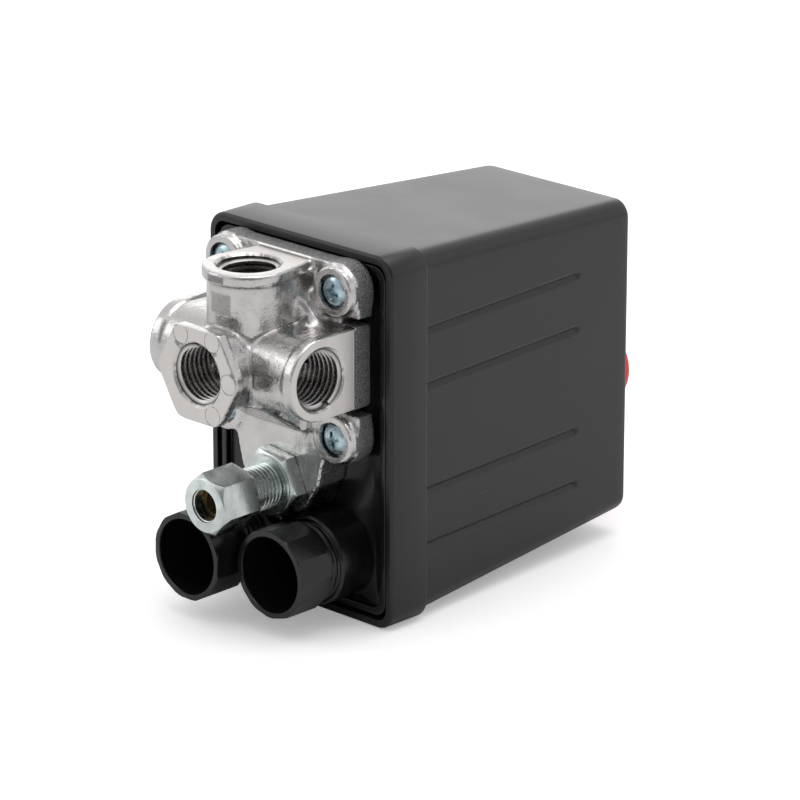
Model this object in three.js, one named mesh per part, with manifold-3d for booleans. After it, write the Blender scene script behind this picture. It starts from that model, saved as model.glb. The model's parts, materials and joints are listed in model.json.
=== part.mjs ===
// Pressure switch for an air compressor, lying on the narrow side of its cover.
// Millimetres, +Z up. X is the width, -Y points out of the manifold and +Y out of the cover's back.
import * as THREE from 'three';
import { mergeVertices } from 'three/addons/utils/BufferGeometryUtils.js';
import Module from 'manifold-3d';

const wasm = await Module();
wasm.setup();

// ---- Driving dimensions -------------------------------------------------------------------

const gap = 0.3;       // between neighbours that don't bear on each other
const seat = 0.05;     // between faces that rest on each other
const running = 0.08;  // radial clearance of a shaft in its hole
const facets = { large: 28, medium: 20, small: 12, coil: 12, arc: 4 };   // flats that stand for a curve

const cover = {
  width: 54, height: 82, depth: 80,   // over the skirt, and from the rim to the back face
  skirt: 11, step: 1,                 // depth of the wider skirt, and how far it stands proud
  draft: 4.2,                         // how far each side leans in between skirt and back
  wall: 1.8, corner: 4.5,
};
const groove = { width: 1.6, depth: 0.6, endRoom: 17.5, heights: [16.3, 28.6, 51.8, 64.0] };
const base = {
  clearance: 0.7, wall: 1.6, rim: 0.5, depth: 9,   // a tray that slides into the skirt
  floorFront: 1.9, floor: 2.5, corner: 3.2,
  padFront: 0, padHalf: 19.8, padLow: 37.6, padHigh: 77.2,   // raised seat behind the manifold's plate
};
const port = {
  y: -14.75, z: 58.3,                   // where the four port axes cross
  reach: 21, top: 79.1, front: 30,      // faces of the side, top and front ports
  bore: 11.45, flare: 1.175, chamfer: 1.2, depth: 11, passage: 8,
  hexFlats: 21, hexCollar: 2.7, neck: 17.4,
  sideArch: 17.8, sideCollar: 2.8, sideNeck: 16.6,
  topArch: 20.2, topCollar: 2.6,
};
const plate = {
  half: 21.6, low: 36.7, high: 79.9, front: -4.2, ear: 10.9, earFront: -7.0,
  notchLow: 47.8, notchHigh: 68.8, waist: 17.0, shoulderFront: -11.5, shoulderLow: 43.5,
};
const screws = { pitch: 32.3, thread: 4, head: 7, headHeight: 2.4, sink: 0.2, counterbore: 7.6 };
const tongue = { front: -6.15, shoulder: 12.9, shoulderZ: 36.9, waist: 11.3, waistZ: 30.2, tip: 8.6 };
const chamber = { bore: 23, depth: 3.0, duct: 2.4 };
const diaphragm = { diameter: 26.4, thickness: 1.5, boss: 1.6 };
const piston = { head: 18, headHeight: 2.0, stem: 8, lip: 1.3, dome: 5 };
const valve = {
  z: 29.1, socket: 8, hexFlats: 14, hexFront: -9.8, hexTurn: -6, thread: 9.9, threadFront: -23,
  stem: 7.9, stemRear: 7, tube: 6, passage: 3, chamber: 4.8, chamberFront: -5,
  nutWall: 1.05, nutFront: -28.3, nutRear: -18, nutTurn: -14, tubeGap: 0.7, nutLip: 2.4,
  pin: 2.2, pinFront: -4.4, collar: 4.2, collarFront: -1, collarWidth: 1.4, plug: 2,
};
const gland = {
  spacing: 0.8, z: 14.0, head: 8.8, sleeve: 17.8, wall: 0.6, flange: 0.85, sleeveLength: 10,
  bossFront: -7.5, seatRear: 6, bossRear: 8, inlet: 13, cordBore: 8,
  nutFronts: { left: -24.0, right: -19.4 }, turns: { left: 14, right: 0 },
  grommet: 5, washer: 0.8,
};
const frame = {
  half: 20.5, low: 37.2, high: 77.4, sheet: 1.5, cheek: 12, cheekLow: 41.3, cheekMid: 50,
  towerLow: 52, towerHigh: 65, lugTop: 19.6, towerRoom: 18, corner: 3, window: 12,
};
const rocker = {
  front: 12, sheet: 1.5, half: 8, low: 26.5, high: 66.5,
  pivotY: 15.5, pivotZ: 44, pin: 3, lugTop: 18.6, lug: 4,
};
const rangeSpring = { outside: 14.2, wire: 1.8, turns: 7, seatHeight: 1.5, seatDiameter: 15.4 };
const rangeCup = { drop: 19, thickness: 3, spigot: 8.6, spigotDepth: 2.5 };
const rangeScrew = { thread: 5, head: 9, headHeight: 3.4, headGap: 5 };
const carrier = { half: 16, height: 7, front: 15.5, rear: 18.5, z: 31 };
const contact = {
  x: 12, width: 6.4, span: 7.2, strip: 0.8, tip: 4, tipHeight: 0.6,   // moving bridges
  tab: 1.2, pad: 0.6,                                                // fixed terminals
};
const block = { half: 19, front: 22, rear: 36, low: 18, high: 44, leg: 1.5, legLow: 25, legHigh: 36.6 };
const terminalScrew = { thread: 3, head: 5.6, headHeight: 2, length: 8, inset: 5.2 };
const knob = {
  z: 31, diameter: 18.6, out: 16.5, travel: 6, inside: 7, round: 2.4, socket: 9,
  stem: 7.2, groove: 6.2, grooveWidth: 3.4,
};
const coverScrew = {
  z: 70.8, recess: 9.2, recessDepth: 3, boss: 11, thread: 4, head: 7.4, headHeight: 2.5, length: 12,
};
const pillar = { flats: 6.6 };
const earth = { x: 17.3, thread: 3, head: 6, headHeight: 2.2, length: 3.4 };

const colours = {
  plastic: [0x1b1b1d, 0.45, 0.0],
  castAlloy: [0xb9b9b9, 0.35, 1.0],
  zincSteel: [0xa9b2b4, 0.35, 1.0],
  sheetSteel: [0xc2c0b4, 0.45, 1.0],
  brass: [0xb08d4a, 0.35, 1.0],
  copper: [0xb87050, 0.35, 1.0],
  rubber: [0x141414, 0.85, 0.0],
  whitePlastic: [0xd8d4c8, 0.5, 0.0],
  bakelite: [0x2c2420, 0.55, 0.0],
  red: [0xd02626, 0.4, 0.0],
};

// ---- Places that several pieces share -----------------------------------------------------

const midZ = cover.height / 2;
const floorRear = base.floorFront + base.floor;
const plateRear = base.padFront - seat;
const screwSpots = [[-1, 1], [1, 1], [-1, -1], [1, -1]].map(
  ([sx, sz]) => ({ x: sx * screws.pitch / 2, z: port.z + sz * screws.pitch / 2 }));
const headFront = plate.earFront + screws.sink;
const headRear = headFront + screws.headHeight;
const pistonFront = base.padFront + diaphragm.thickness + 2 * seat;
const pistonRoom = pistonFront + piston.headHeight + 1.7;
const bossRear = pistonRoom + piston.lip;
const frameFront = bossRear + seat;
const frameRear = frameFront + frame.sheet;
const rockerRear = rocker.front + rocker.sheet;
const seatRear = rockerRear + seat + rangeSpring.seatHeight;
const bridgeFront = carrier.rear;
const tipRear = bridgeFront + contact.strip + contact.tipHeight;
const padFront = tipRear + seat;
const knobRear = cover.depth + knob.out;
const insideBack = cover.depth - cover.wall;
const grooveEnd = cover.depth - groove.endRoom;
const glandAcross = gland.sleeve + 2 * gland.flange;   // over the nut's corners and over the boss
const glandBore = gland.sleeve - 2 * gland.wall;
const glandX = (glandAcross + gland.spacing) / 2;
const nutFlats = valve.thread + 2 * valve.nutWall;
const nutBore = valve.tube + valve.tubeGap;
const towerTop = cover.depth - frame.towerRoom;
const cupFront = towerTop - rangeCup.drop;
const pillarRear = cover.depth - coverScrew.recessDepth - cover.wall - seat;

// ---- Making solids ------------------------------------------------------------------------

function solid(geometry) {
  const clean = geometry.clone();
  clean.deleteAttribute('normal');
  clean.deleteAttribute('uv');
  const merged = mergeVertices(clean, 1e-4);
  return new wasm.Manifold(new wasm.Mesh({
    numProp: 3,
    vertProperties: new Float32Array(merged.attributes.position.array),
    triVerts: new Uint32Array(merged.index.array),
  }));
}

function join(first, ...others) {
  return others.reduce((sum, other) => sum.add(other), first);
}

function cut(body, ...tools) {
  return tools.reduce((rest, tool) => rest.subtract(tool), body);
}

function material([colour, roughness, metalness]) {
  return new THREE.MeshStandardMaterial({ color: colour, roughness, metalness });
}

function piece(name, body, look) {
  const { vertProperties, triVerts } = body.getMesh();
  const geometry = new THREE.BufferGeometry();
  geometry.setAttribute('position', new THREE.BufferAttribute(new Float32Array(vertProperties), 3));
  geometry.setIndex(new THREE.BufferAttribute(new Uint32Array(triVerts), 1));
  const mesh = new THREE.Mesh(geometry, material(look));
  mesh.name = name;
  return mesh;
}

function box(x0, x1, y0, y1, z0, z1) {
  const geometry = new THREE.BoxGeometry(x1 - x0, y1 - y0, z1 - z0);
  return solid(geometry.translate((x0 + x1) / 2, (y0 + y1) / 2, (z0 + z1) / 2));
}

// Turned solids: the profile is a list of [radius, place along the axis], from axis to axis.
function turnedY(profile, x, z, segments = facets.medium) {
  const points = profile.map(([radius, along]) => new THREE.Vector2(radius, along));
  return solid(new THREE.LatheGeometry(points, segments).translate(x, 0, z));
}

function turnedX(profile, y, z, segments = facets.medium) {
  const points = profile.map(([radius, along]) => new THREE.Vector2(radius, along));
  const geometry = new THREE.LatheGeometry(points, segments).rotateZ(-Math.PI / 2);
  return solid(geometry.translate(0, y, z));
}

function turnedZ(profile, x, y, segments = facets.medium) {
  const points = profile.map(([radius, along]) => new THREE.Vector2(radius, along));
  const geometry = new THREE.LatheGeometry(points, segments).rotateX(Math.PI / 2);
  return solid(geometry.translate(x, y, 0));
}

function rod(radius, start, end) {
  return [[0, start], [radius, start], [radius, end], [0, end]];
}

function cylinderY(radius, y0, y1, x, z, segments) {
  return turnedY(rod(radius, y0, y1), x, z, segments);
}

// Prisms: an outline in X and Z pushed along Y, in Y and Z along X, or in X and Y along Z.
function extruded(shape, depth) {
  return new THREE.ExtrudeGeometry(shape, { depth, bevelEnabled: false, curveSegments: facets.arc });
}

function prismY(shape, y0, y1) {
  return extruded(shape, y1 - y0).rotateX(Math.PI / 2).translate(0, y1, 0);
}

function prismX(shape, x0, x1) {
  const turn = new THREE.Matrix4().set(0, 0, 1, x0, 1, 0, 0, 0, 0, 1, 0, 0, 0, 0, 0, 1);
  return extruded(shape, x1 - x0).applyMatrix4(turn);
}

function prismZ(shape, z0, z1) {
  return extruded(shape, z1 - z0).translate(0, 0, z0);
}

function polygon(points) {
  return new THREE.Shape(points.map(([a, b]) => new THREE.Vector2(a, b)));
}

function roundedRectangle(a0, a1, b0, b1, r) {
  const shape = new THREE.Shape();
  shape.moveTo(a0 + r, b0);
  shape.lineTo(a1 - r, b0);
  shape.absarc(a1 - r, b0 + r, r, -Math.PI / 2, 0);
  shape.lineTo(a1, b1 - r);
  shape.absarc(a1 - r, b1 - r, r, 0, Math.PI / 2);
  shape.lineTo(a0 + r, b1);
  shape.absarc(a0 + r, b1 - r, r, Math.PI / 2, Math.PI);
  shape.lineTo(a0, b0 + r);
  shape.absarc(a0 + r, b0 + r, r, Math.PI, 1.5 * Math.PI);
  return shape;
}

function regularPolygon(sides, across, x, z, firstDegrees = 0) {
  const radius = across / 2 / Math.cos(Math.PI / sides);
  const points = Array.from({ length: sides }, (_, i) => {
    const angle = THREE.MathUtils.degToRad(firstDegrees + i * 360 / sides);
    return [x + radius * Math.cos(angle), z + radius * Math.sin(angle)];
  });
  return polygon(points);
}

// A round-fronted outline in (y, other): an arch about (yc, c) with straight sides back to yRear.
function archOutline(yc, c, radius, yRear) {
  const shape = new THREE.Shape();
  shape.moveTo(yRear, c - radius);
  shape.lineTo(yRear, c + radius);
  shape.lineTo(yc, c + radius);
  shape.absarc(yc, c, radius, Math.PI / 2, 1.5 * Math.PI);
  return shape;
}

// The same arch with its straight sides leaning in towards the plate, in (x, y).
function topOutline(radius, rearHalf, yRear) {
  const shape = new THREE.Shape();
  shape.moveTo(rearHalf, yRear);
  shape.lineTo(-rearHalf, yRear);
  shape.lineTo(-radius, port.y);
  shape.absarc(0, port.y, radius, Math.PI, 2 * Math.PI);
  return shape;
}

// Leans the sides of a prism in by `inset` between y0 and y1, as a moulding's draft does.
function drafted(geometry, halfX, halfZ, inset, y0, y1) {
  const position = geometry.attributes.position;
  for (let i = 0; i < position.count; i += 1) {
    const along = (position.getY(i) - y0) / (y1 - y0);
    const x = position.getX(i) * (1 - along * inset / halfX);
    const z = midZ + (position.getZ(i) - midZ) * (1 - along * inset / halfZ);
    position.setXYZ(i, x, position.getY(i), z);
  }
  return geometry;
}

// A coil along Y: a round wire on a helix, closed at both ends.
function coil(outside, wire, turns, y0, y1, x, z, sides = 6) {
  const radius = (outside - wire) / 2;
  class Helix extends THREE.Curve {
    getPoint(t, target = new THREE.Vector3()) {
      const angle = 2 * Math.PI * turns * t;
      const y = y0 + wire / 2 + (y1 - y0 - wire) * t;
      return target.set(x + radius * Math.cos(angle), y, z + radius * Math.sin(angle));
    }
  }
  const section = new THREE.Shape();
  section.absarc(0, 0, wire / 2, 0, 2 * Math.PI);
  const geometry = new THREE.ExtrudeGeometry(section, {
    steps: Math.round(turns * facets.coil),
    extrudePath: new Helix(),
    curveSegments: sides / 2,
    bevelEnabled: false,
  });
  return solid(geometry);
}

// A pan-head screw along Y: the head faces -Y or +Y, with a cross recess.
function panScrew(x, z, seatY, facing, thread, head, headHeight, length) {
  const top = seatY + facing * headHeight;
  const dome = seatY + facing * headHeight * 0.55;
  const profile = [[0, seatY - facing * length], [thread / 2, seatY - facing * length],
    [thread / 2, seatY], [head / 2, seatY], [head / 2, dome], [head * 0.36, top], [0, top]];
  const body = turnedY(facing > 0 ? profile : profile.reverse(), x, z, facets.small);
  const arm = head * 0.3;
  const slot = head * 0.07;
  const bottom = top - facing * headHeight * 0.6;
  const [y0, y1] = [Math.min(bottom, top + facing), Math.max(bottom, top + facing)];
  return cut(body,
    box(x - arm, x + arm, y0, y1, z - slot, z + slot),
    box(x - slot, x + slot, y0, y1, z - arm, z + arm));
}

// ---- Casing -------------------------------------------------------------------------------

function coverShell() {
  const halfX = cover.width / 2;
  const halfZ = cover.height / 2;
  const bodyX = halfX - cover.step;
  const bodyZ = halfZ - cover.step;
  const skirt = roundedRectangle(-halfX, halfX, 0, cover.height, cover.corner);
  const body = roundedRectangle(-bodyX, bodyX, midZ - bodyZ, midZ + bodyZ, cover.corner - cover.step);
  const outer = join(
    solid(prismY(skirt, 0, cover.skirt)),
    solid(drafted(prismY(body, cover.skirt, cover.depth), bodyX, bodyZ, cover.draft,
      cover.skirt, cover.depth)));
  const roomX = halfX - cover.wall;
  const roomZ = halfZ - cover.wall;
  const mouth = roundedRectangle(-roomX, roomX, midZ - roomZ, midZ + roomZ, cover.corner - cover.wall);
  const innerX = bodyX - cover.wall;
  const innerZ = bodyZ - cover.wall;
  const room = roundedRectangle(-innerX, innerX, midZ - innerZ, midZ + innerZ, 1.5);
  const inside = join(
    solid(prismY(mouth, -1, cover.skirt - cover.wall)),
    solid(drafted(prismY(room, cover.skirt - cover.wall - 1, insideBack), innerX, innerZ, cover.draft,
      cover.skirt, cover.depth)));
  const shell = join(cut(outer, inside), coverScrewBoss());
  return cut(shell,
    cylinderY(knob.diameter / 2 + gap, insideBack - 1, cover.depth + 1, 0, knob.z, facets.large),
    cylinderY(coverScrew.recess / 2, cover.depth - coverScrew.recessDepth, cover.depth + 1, 0, coverScrew.z),
    cylinderY(coverScrew.thread / 2 + gap, insideBack - 6, cover.depth, 0, coverScrew.z, facets.small),
    ...groove.heights.flatMap((height) => [grooveCutter(1, height), grooveCutter(-1, height)]));
}

function coverScrewBoss() {
  const front = pillarRear + seat;
  return cylinderY(coverScrew.boss / 2, front, insideBack + 0.5, 0, coverScrew.z);
}

// A round-ended channel that follows the lean of the cover's side.
function grooveCutter(side, height) {
  const r = groove.width / 2;
  const shape = new THREE.Shape();
  shape.moveTo(cover.skirt, height - r);
  shape.lineTo(grooveEnd, height - r);
  shape.absarc(grooveEnd, height, r, -Math.PI / 2, Math.PI / 2);
  shape.lineTo(cover.skirt, height + r);
  const geometry = prismX(shape, -groove.depth, groove.depth);
  const lean = cover.draft / (cover.depth - cover.skirt);
  const position = geometry.attributes.position;
  for (let i = 0; i < position.count; i += 1) {
    const face = cover.width / 2 - cover.step - lean * (position.getY(i) - cover.skirt);
    position.setX(i, side * face + position.getX(i));
  }
  return solid(geometry);
}

function baseTray() {
  const halfX = cover.width / 2 - cover.wall - base.clearance;
  const halfZ = cover.height / 2 - cover.wall - base.clearance;
  const r = base.corner;
  const outline = roundedRectangle(-halfX, halfX, midZ - halfZ, midZ + halfZ, r);
  const hollow = (shrink, y0, y1) => {
    const [hx, hz] = [halfX - shrink, halfZ - shrink];
    return solid(prismY(roundedRectangle(-hx, hx, midZ - hz, midZ + hz, r - 0.6), y0, y1));
  };
  const bosses = Object.values(sides).map((sx) =>
    cylinderY(glandAcross / 2, gland.bossFront, gland.bossRear, sx * glandX, gland.z, facets.large));
  const pistonBoss = cylinderY(diaphragm.diameter / 2 + diaphragm.boss, floorRear - 0.5, bossRear,
    0, port.z, facets.large);
  const pad = roundedRectangle(-base.padHalf, base.padHalf, base.padLow, base.padHigh, plate.ear / 2);
  const tray = join(
    cut(solid(prismY(outline, base.rim, base.depth)),
      hollow(base.wall, base.rim - 1, base.floorFront),
      hollow(base.wall, floorRear, base.depth + 1)),
    solid(prismY(pad, base.padFront, base.floorFront + 0.5)), pistonBoss, ...bosses);
  const glandBores = Object.values(sides).flatMap((sx) => [
    cylinderY(gland.sleeve / 2 + running, gland.bossFront - 1, gland.seatRear, sx * glandX, gland.z,
      facets.large),
    cylinderY(gland.inlet / 2, gland.seatRear - 1, gland.bossRear + 1, sx * glandX, gland.z),
  ]);
  return cut(tray,
    cylinderY(diaphragm.diameter / 2 + gap / 2, base.padFront - 1, pistonFront - seat, 0, port.z,
      facets.large),
    cylinderY(piston.head / 2 + running, base.padFront, pistonRoom, 0, port.z),
    cylinderY(piston.stem / 2 + running, pistonRoom - 1, bossRear + 1, 0, port.z, facets.medium),
    cylinderY(valve.stem / 2 + gap, base.floorFront - 1, floorRear + 1, 0, valve.z, facets.medium),
    ...screwSpots.map(({ x, z }) =>
      cylinderY(screws.thread / 2 + gap, base.padFront - 1, bossRear + 1, x, z, facets.small)),
    ...glandBores);
}

const sides = { left: -1, right: 1 };

// ---- Manifold -----------------------------------------------------------------------------

function manifoldPlate() {
  const ear = plate.ear / 2;
  const outline = roundedRectangle(-plate.half, plate.half, plate.low, plate.high, ear);
  const notch = (sx) => {
    const [x0, x1] = sx > 0 ? [plate.waist, plate.half + 1] : [-plate.half - 1, -plate.waist];
    return box(x0, x1, plate.earFront - 1, plateRear + 1, plate.notchLow, plate.notchHigh);
  };
  const bottomNotch = roundedRectangle(-screws.pitch / 2 + ear, screws.pitch / 2 - ear,
    plate.low - 5, plate.low + ear * 0.6, 2);
  const sheet = cut(solid(prismY(outline, plate.front, plateRear)), notch(1), notch(-1),
    solid(prismY(bottomNotch, plate.front - 1, plateRear + 1)));
  const pads = screwSpots.map(({ x, z }) => cylinderY(ear, plate.earFront, plateRear, x, z, facets.medium));
  return join(sheet, ...pads);
}

function manifoldTongue() {
  const shape = new THREE.Shape();
  shape.moveTo(-plate.half + plate.ear, plate.notchLow);
  shape.lineTo(-tongue.shoulder, tongue.shoulderZ);
  shape.lineTo(-tongue.waist, tongue.waistZ);
  shape.lineTo(-tongue.tip, valve.z - 4);
  shape.quadraticCurveTo(-tongue.tip * 0.75, valve.z - 6.2, -4, valve.z - 6.2);
  shape.lineTo(4, valve.z - 6.2);
  shape.quadraticCurveTo(tongue.tip * 0.75, valve.z - 6.2, tongue.tip, valve.z - 4);
  shape.lineTo(tongue.waist, tongue.waistZ);
  shape.lineTo(tongue.shoulder, tongue.shoulderZ);
  shape.lineTo(plate.half - plate.ear, plate.notchLow);
  const foot = box(-plate.half, plate.half, plateRear - 0.5, base.floorFront - seat,
    valve.z - 8, base.padLow - gap);
  const sheet = solid(prismY(shape, tongue.front, base.floorFront - seat));
  return join(solid(prismY(shape, tongue.front, plateRear)), sheet.intersect(foot));
}

// The thick web between the front port and the tongue.
function manifoldShoulder() {
  const half = port.neck / 2 + 2;
  const shape = polygon([[plateRear, port.z], [port.y, port.z], [plate.shoulderFront, plate.shoulderLow],
    [tongue.front, plate.shoulderLow - 3.5], [plateRear, plate.shoulderLow - 3.5]]);
  return solid(prismX(shape, -half, half));
}

function frontPort() {
  const face = -port.front;
  const rear = face + port.hexCollar;
  const hex = solid(prismY(regularPolygon(6, port.hexFlats, 0, port.z), face, rear));
  const rounded = cylinderY(port.hexFlats / 2 + 1.1, face - 1, rear + 1, 0, port.z, facets.large);
  const neck = cylinderY(port.neck / 2, rear - 0.5, port.y, 0, port.z);
  return join(hex.intersect(rounded), neck);
}

function sidePorts() {
  const collar = archOutline(port.y, port.z, port.sideArch / 2, plate.front + 0.5);
  const neck = archOutline(port.y, port.z, port.sideNeck / 2, plate.front + 0.5);
  const inner = port.reach - port.sideCollar;
  return join(
    solid(prismX(neck, -inner - 0.5, inner + 0.5)),
    solid(prismX(collar, inner, port.reach)),
    solid(prismX(collar, -port.reach, -inner)));
}

// The stretch of plate behind each side port, out to the plate's edge.
function portBacks() {
  const half = port.sideArch / 2;
  return box(-plate.half, plate.half, plate.front, plateRear, port.z - half, port.z + half);
}

function topPort() {
  const low = port.top - port.topCollar;
  const collar = topOutline(port.topArch / 2, port.neck / 2 - 0.4, plate.front + 1);
  const neck = topOutline(port.neck / 2, port.neck / 2 - 0.4, plate.front + 1);
  return join(solid(prismZ(neck, port.z, low + 0.5)), solid(prismZ(collar, low, port.top)));
}

// The profile of one port's bore: chamfered mouth, tapping length, then the passage to the centre.
function portProfile(face, facing, centre) {
  const bore = port.bore / 2;
  const mouth = bore + port.flare;
  const drill = port.passage / 2;
  const profile = [[0, face + facing], [mouth, face + facing], [mouth, face],
    [bore, face - facing * port.chamfer], [bore, face - facing * port.depth],
    [drill, face - facing * (port.depth + 1.2)], [drill, centre], [0, centre]];
  return facing > 0 ? profile.reverse() : profile;
}

function manifoldBody() {
  const body = join(manifoldPlate(), manifoldTongue(), manifoldShoulder(), portBacks(),
    sidePorts(), topPort(), frontPort());
  const drill = port.passage / 2;
  const chamberFront = plateRear - chamber.depth;
  const drills = [
    turnedX(portProfile(port.reach, 1, 0), port.y, port.z),
    turnedX(portProfile(-port.reach, -1, 0), port.y, port.z),
    turnedZ(portProfile(port.top, 1, port.z), 0, port.y),
    turnedY(portProfile(-port.front, -1, port.y), 0, port.z),
    cylinderY(drill, port.y - 1, plateRear, 0, port.z, facets.medium),
    cylinderY(chamber.bore / 2, chamberFront, plateRear + 1, 0, port.z, facets.large),
    cylinderY(valve.stem / 2 + gap / 2, tongue.front - 1, base.floorFront + 1, 0, valve.z, facets.medium),
    turnedZ(rod(chamber.duct / 2, valve.z, port.z - chamber.bore / 2 + 1), 0, chamberFront / 2, facets.small),
  ];
  const counterbores = screwSpots.flatMap(({ x, z }) => [
    cylinderY(screws.counterbore / 2, plate.earFront - 1, headRear + seat, x, z, facets.medium),
    cylinderY(screws.thread / 2 + gap, headRear, plateRear + 1, x, z, facets.small),
  ]);
  return cut(body, ...drills, ...counterbores);
}

function manifoldScrew({ x, z }) {
  return panScrew(x, z, headRear, -1, screws.thread, screws.head, screws.headHeight,
    frameRear + 1.5 - headRear);
}

function diaphragmDisc() {
  const front = base.padFront + seat;
  return cylinderY(diaphragm.diameter / 2, front, front + diaphragm.thickness, 0, port.z, facets.large);
}

function pistonBody() {
  const head = piston.head / 2;
  const stem = piston.stem / 2;
  const shoulder = pistonFront + piston.headHeight;
  const tip = rocker.front - seat;
  const profile = [[0, pistonFront], [head, pistonFront], [head, shoulder], [stem, shoulder],
    [stem, tip - 1.6], [stem * 0.8, tip - 0.9], [stem * 0.45, tip - 0.25], [0, tip]];
  return turnedY(profile, 0, port.z, facets.medium);
}

// ---- Unloader valve -----------------------------------------------------------------------

function valveBody() {
  const thread = valve.thread / 2;
  const stem = valve.stem / 2;
  const neck = stem - 0.6;
  const outside = turnedY([[0, valve.threadFront], [thread - 1.2, valve.threadFront],
    [thread, valve.threadFront + 1.2], [thread, valve.hexFront + 0.5], [stem, valve.hexFront + 0.5],
    [stem, valve.stemRear - 0.6], [neck, valve.stemRear], [0, valve.stemRear]], 0, valve.z, facets.medium);
  const hex = solid(prismY(regularPolygon(6, valve.hexFlats, 0, valve.z, valve.hexTurn),
    valve.hexFront, tongue.front - seat));
  const socketRear = valve.threadFront + valve.socket;
  const bores = [
    cylinderY(valve.tube / 2 + running, valve.threadFront - 1, socketRear, 0, valve.z, facets.medium),
    cylinderY(valve.passage / 2, socketRear - 1, valve.chamberFront + 1, 0, valve.z, facets.small),
    cylinderY(valve.chamber / 2, valve.chamberFront, valve.stemRear + 1, 0, valve.z, facets.medium),
    turnedZ(rod(chamber.duct / 2, valve.z, valve.z + valve.stem), 0, (plateRear - chamber.depth) / 2,
      facets.small),
  ];
  return cut(join(outside, hex), ...bores);
}

function valvePin() {
  const pin = valve.pin / 2;
  const collar = valve.collar / 2;
  const rear = rocker.front - seat;
  const collarRear = valve.collarFront + valve.collarWidth;
  return turnedY([[0, valve.pinFront], [pin, valve.pinFront], [pin, valve.collarFront],
    [collar, valve.collarFront], [collar, collarRear], [pin, collarRear], [pin, rear - 0.5],
    [pin * 0.5, rear - 0.1], [0, rear]], 0, valve.z, facets.small);
}

function valvePlug() {
  const ring = cylinderY(valve.chamber / 2 - seat, valve.stemRear - valve.plug, valve.stemRear,
    0, valve.z, facets.medium);
  return cut(ring, cylinderY(valve.pin / 2 + running, valve.stemRear - valve.plug - 1, valve.stemRear + 1,
    0, valve.z, facets.small));
}

function valveSpring() {
  return coil(valve.chamber - 2 * gap, 0.6, 4, valve.chamberFront + seat, valve.collarFront - seat,
    0, valve.z, 4);
}

function valveNut() {
  const hex = solid(prismY(regularPolygon(6, nutFlats, 0, valve.z, valve.nutTurn),
    valve.nutFront, valve.nutRear));
  const across = nutFlats / Math.cos(Math.PI / 6) / 2;
  const chamfer = turnedY([[0, valve.nutFront], [nutFlats / 2 - 0.3, valve.nutFront],
    [across + 0.1, valve.nutFront + 1.4], [across + 0.1, valve.nutRear], [0, valve.nutRear]],
  0, valve.z, facets.large);
  const wallRear = valve.nutFront + valve.nutLip;
  const thread = valve.thread / 2 + running;
  return cut(hex.intersect(chamfer),
    cylinderY(nutBore / 2, valve.nutFront - 1, wallRear + 1, 0, valve.z, facets.medium),
    turnedY([[0, wallRear], [nutBore / 2, wallRear], [thread, wallRear + 1.4],
      [thread, valve.nutRear + 1], [0, valve.nutRear + 1]], 0, valve.z, facets.medium));
}

function valveOlive() {
  const front = valve.nutFront + valve.nutLip + 0.9;
  const rear = valve.threadFront - 0.1;
  const bore = valve.tube / 2 + running;
  const outer = bore + 0.9;
  return turnedY([[bore, front], [bore + 0.4, front], [outer, (front + rear) / 2], [bore + 0.4, rear],
    [bore, rear], [bore, front]], 0, valve.z, facets.medium);
}

// ---- Cable glands -------------------------------------------------------------------------

function glandNut(side) {
  const x = sides[side] * glandX;
  const front = gland.nutFronts[side];
  const headRearY = front + gland.head;
  const flats = glandAcross * Math.cos(Math.PI / 12);
  const head = solid(prismY(regularPolygon(12, flats, x, gland.z, gland.turns[side]), front, headRearY));
  const sleeveRear = headRearY + gland.sleeveLength;
  const sleeve = cylinderY(gland.sleeve / 2, headRearY - 0.5, sleeveRear, x, gland.z, facets.large);
  const bore = cylinderY(glandBore / 2, front - 1, sleeveRear + 1, x, gland.z, facets.large);
  return cut(join(head, sleeve), bore);
}

function glandRing(side, rear, length, boreDiameter) {
  const x = sides[side] * glandX;
  const ring = cylinderY(gland.sleeve / 2 - seat, rear - length, rear, x, gland.z, facets.medium);
  return cut(ring, cylinderY(boreDiameter / 2, rear - length - 1, rear + 1, x, gland.z, facets.medium));
}

// ---- Switch mechanism ---------------------------------------------------------------------

function frameSheet() {
  const sheet = frame.sheet;
  const flat = solid(prismY(roundedRectangle(-frame.half, frame.half, frame.low, frame.high, frame.corner),
    frameFront, frameRear));
  const profile = polygon([[frameFront, frame.cheekLow], [frame.lugTop, frame.cheekLow],
    [frame.lugTop, frame.cheekMid], [frame.lugTop + 4, frame.towerLow], [towerTop, frame.towerLow],
    [towerTop, frame.towerHigh], [frameFront, frame.towerHigh]]);
  const cheeks = Object.values(sides).map((sx) => solid(sx > 0
    ? prismX(profile, frame.cheek - sheet, frame.cheek)
    : prismX(profile, -frame.cheek, -frame.cheek + sheet)));
  const bridge = box(-frame.cheek, frame.cheek, towerTop - sheet, towerTop,
    frame.towerLow, frame.towerHigh);
  return cut(join(flat, ...cheeks, bridge),
    cylinderY(frame.window / 2, frameFront - 1, frameRear + 1, 0, port.z, facets.medium),
    cylinderY(rangeScrew.thread / 2 + running, towerTop - sheet - 1, towerTop + 1, 0, port.z, facets.medium),
    turnedX(rod(rocker.pin / 2 + running, -frame.cheek - 1, frame.cheek + 1), rocker.pivotY, rocker.pivotZ,
      facets.small),
    ...screwSpots.map(({ x, z }) =>
      cylinderY(screws.thread / 2 + running, frameFront - 1, frameRear + 1, x, z, facets.small)),
    ...Object.values(sides).map((sx) =>
      cylinderY(earth.thread / 2 + running, frameFront - 1, frameRear + 1, sx * earth.x, port.z,
        facets.small)));
}

function pivotPin() {
  return turnedX(rod(rocker.pin / 2, -frame.cheek - 0.8, frame.cheek + 0.8), rocker.pivotY, rocker.pivotZ,
    facets.small);
}

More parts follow.
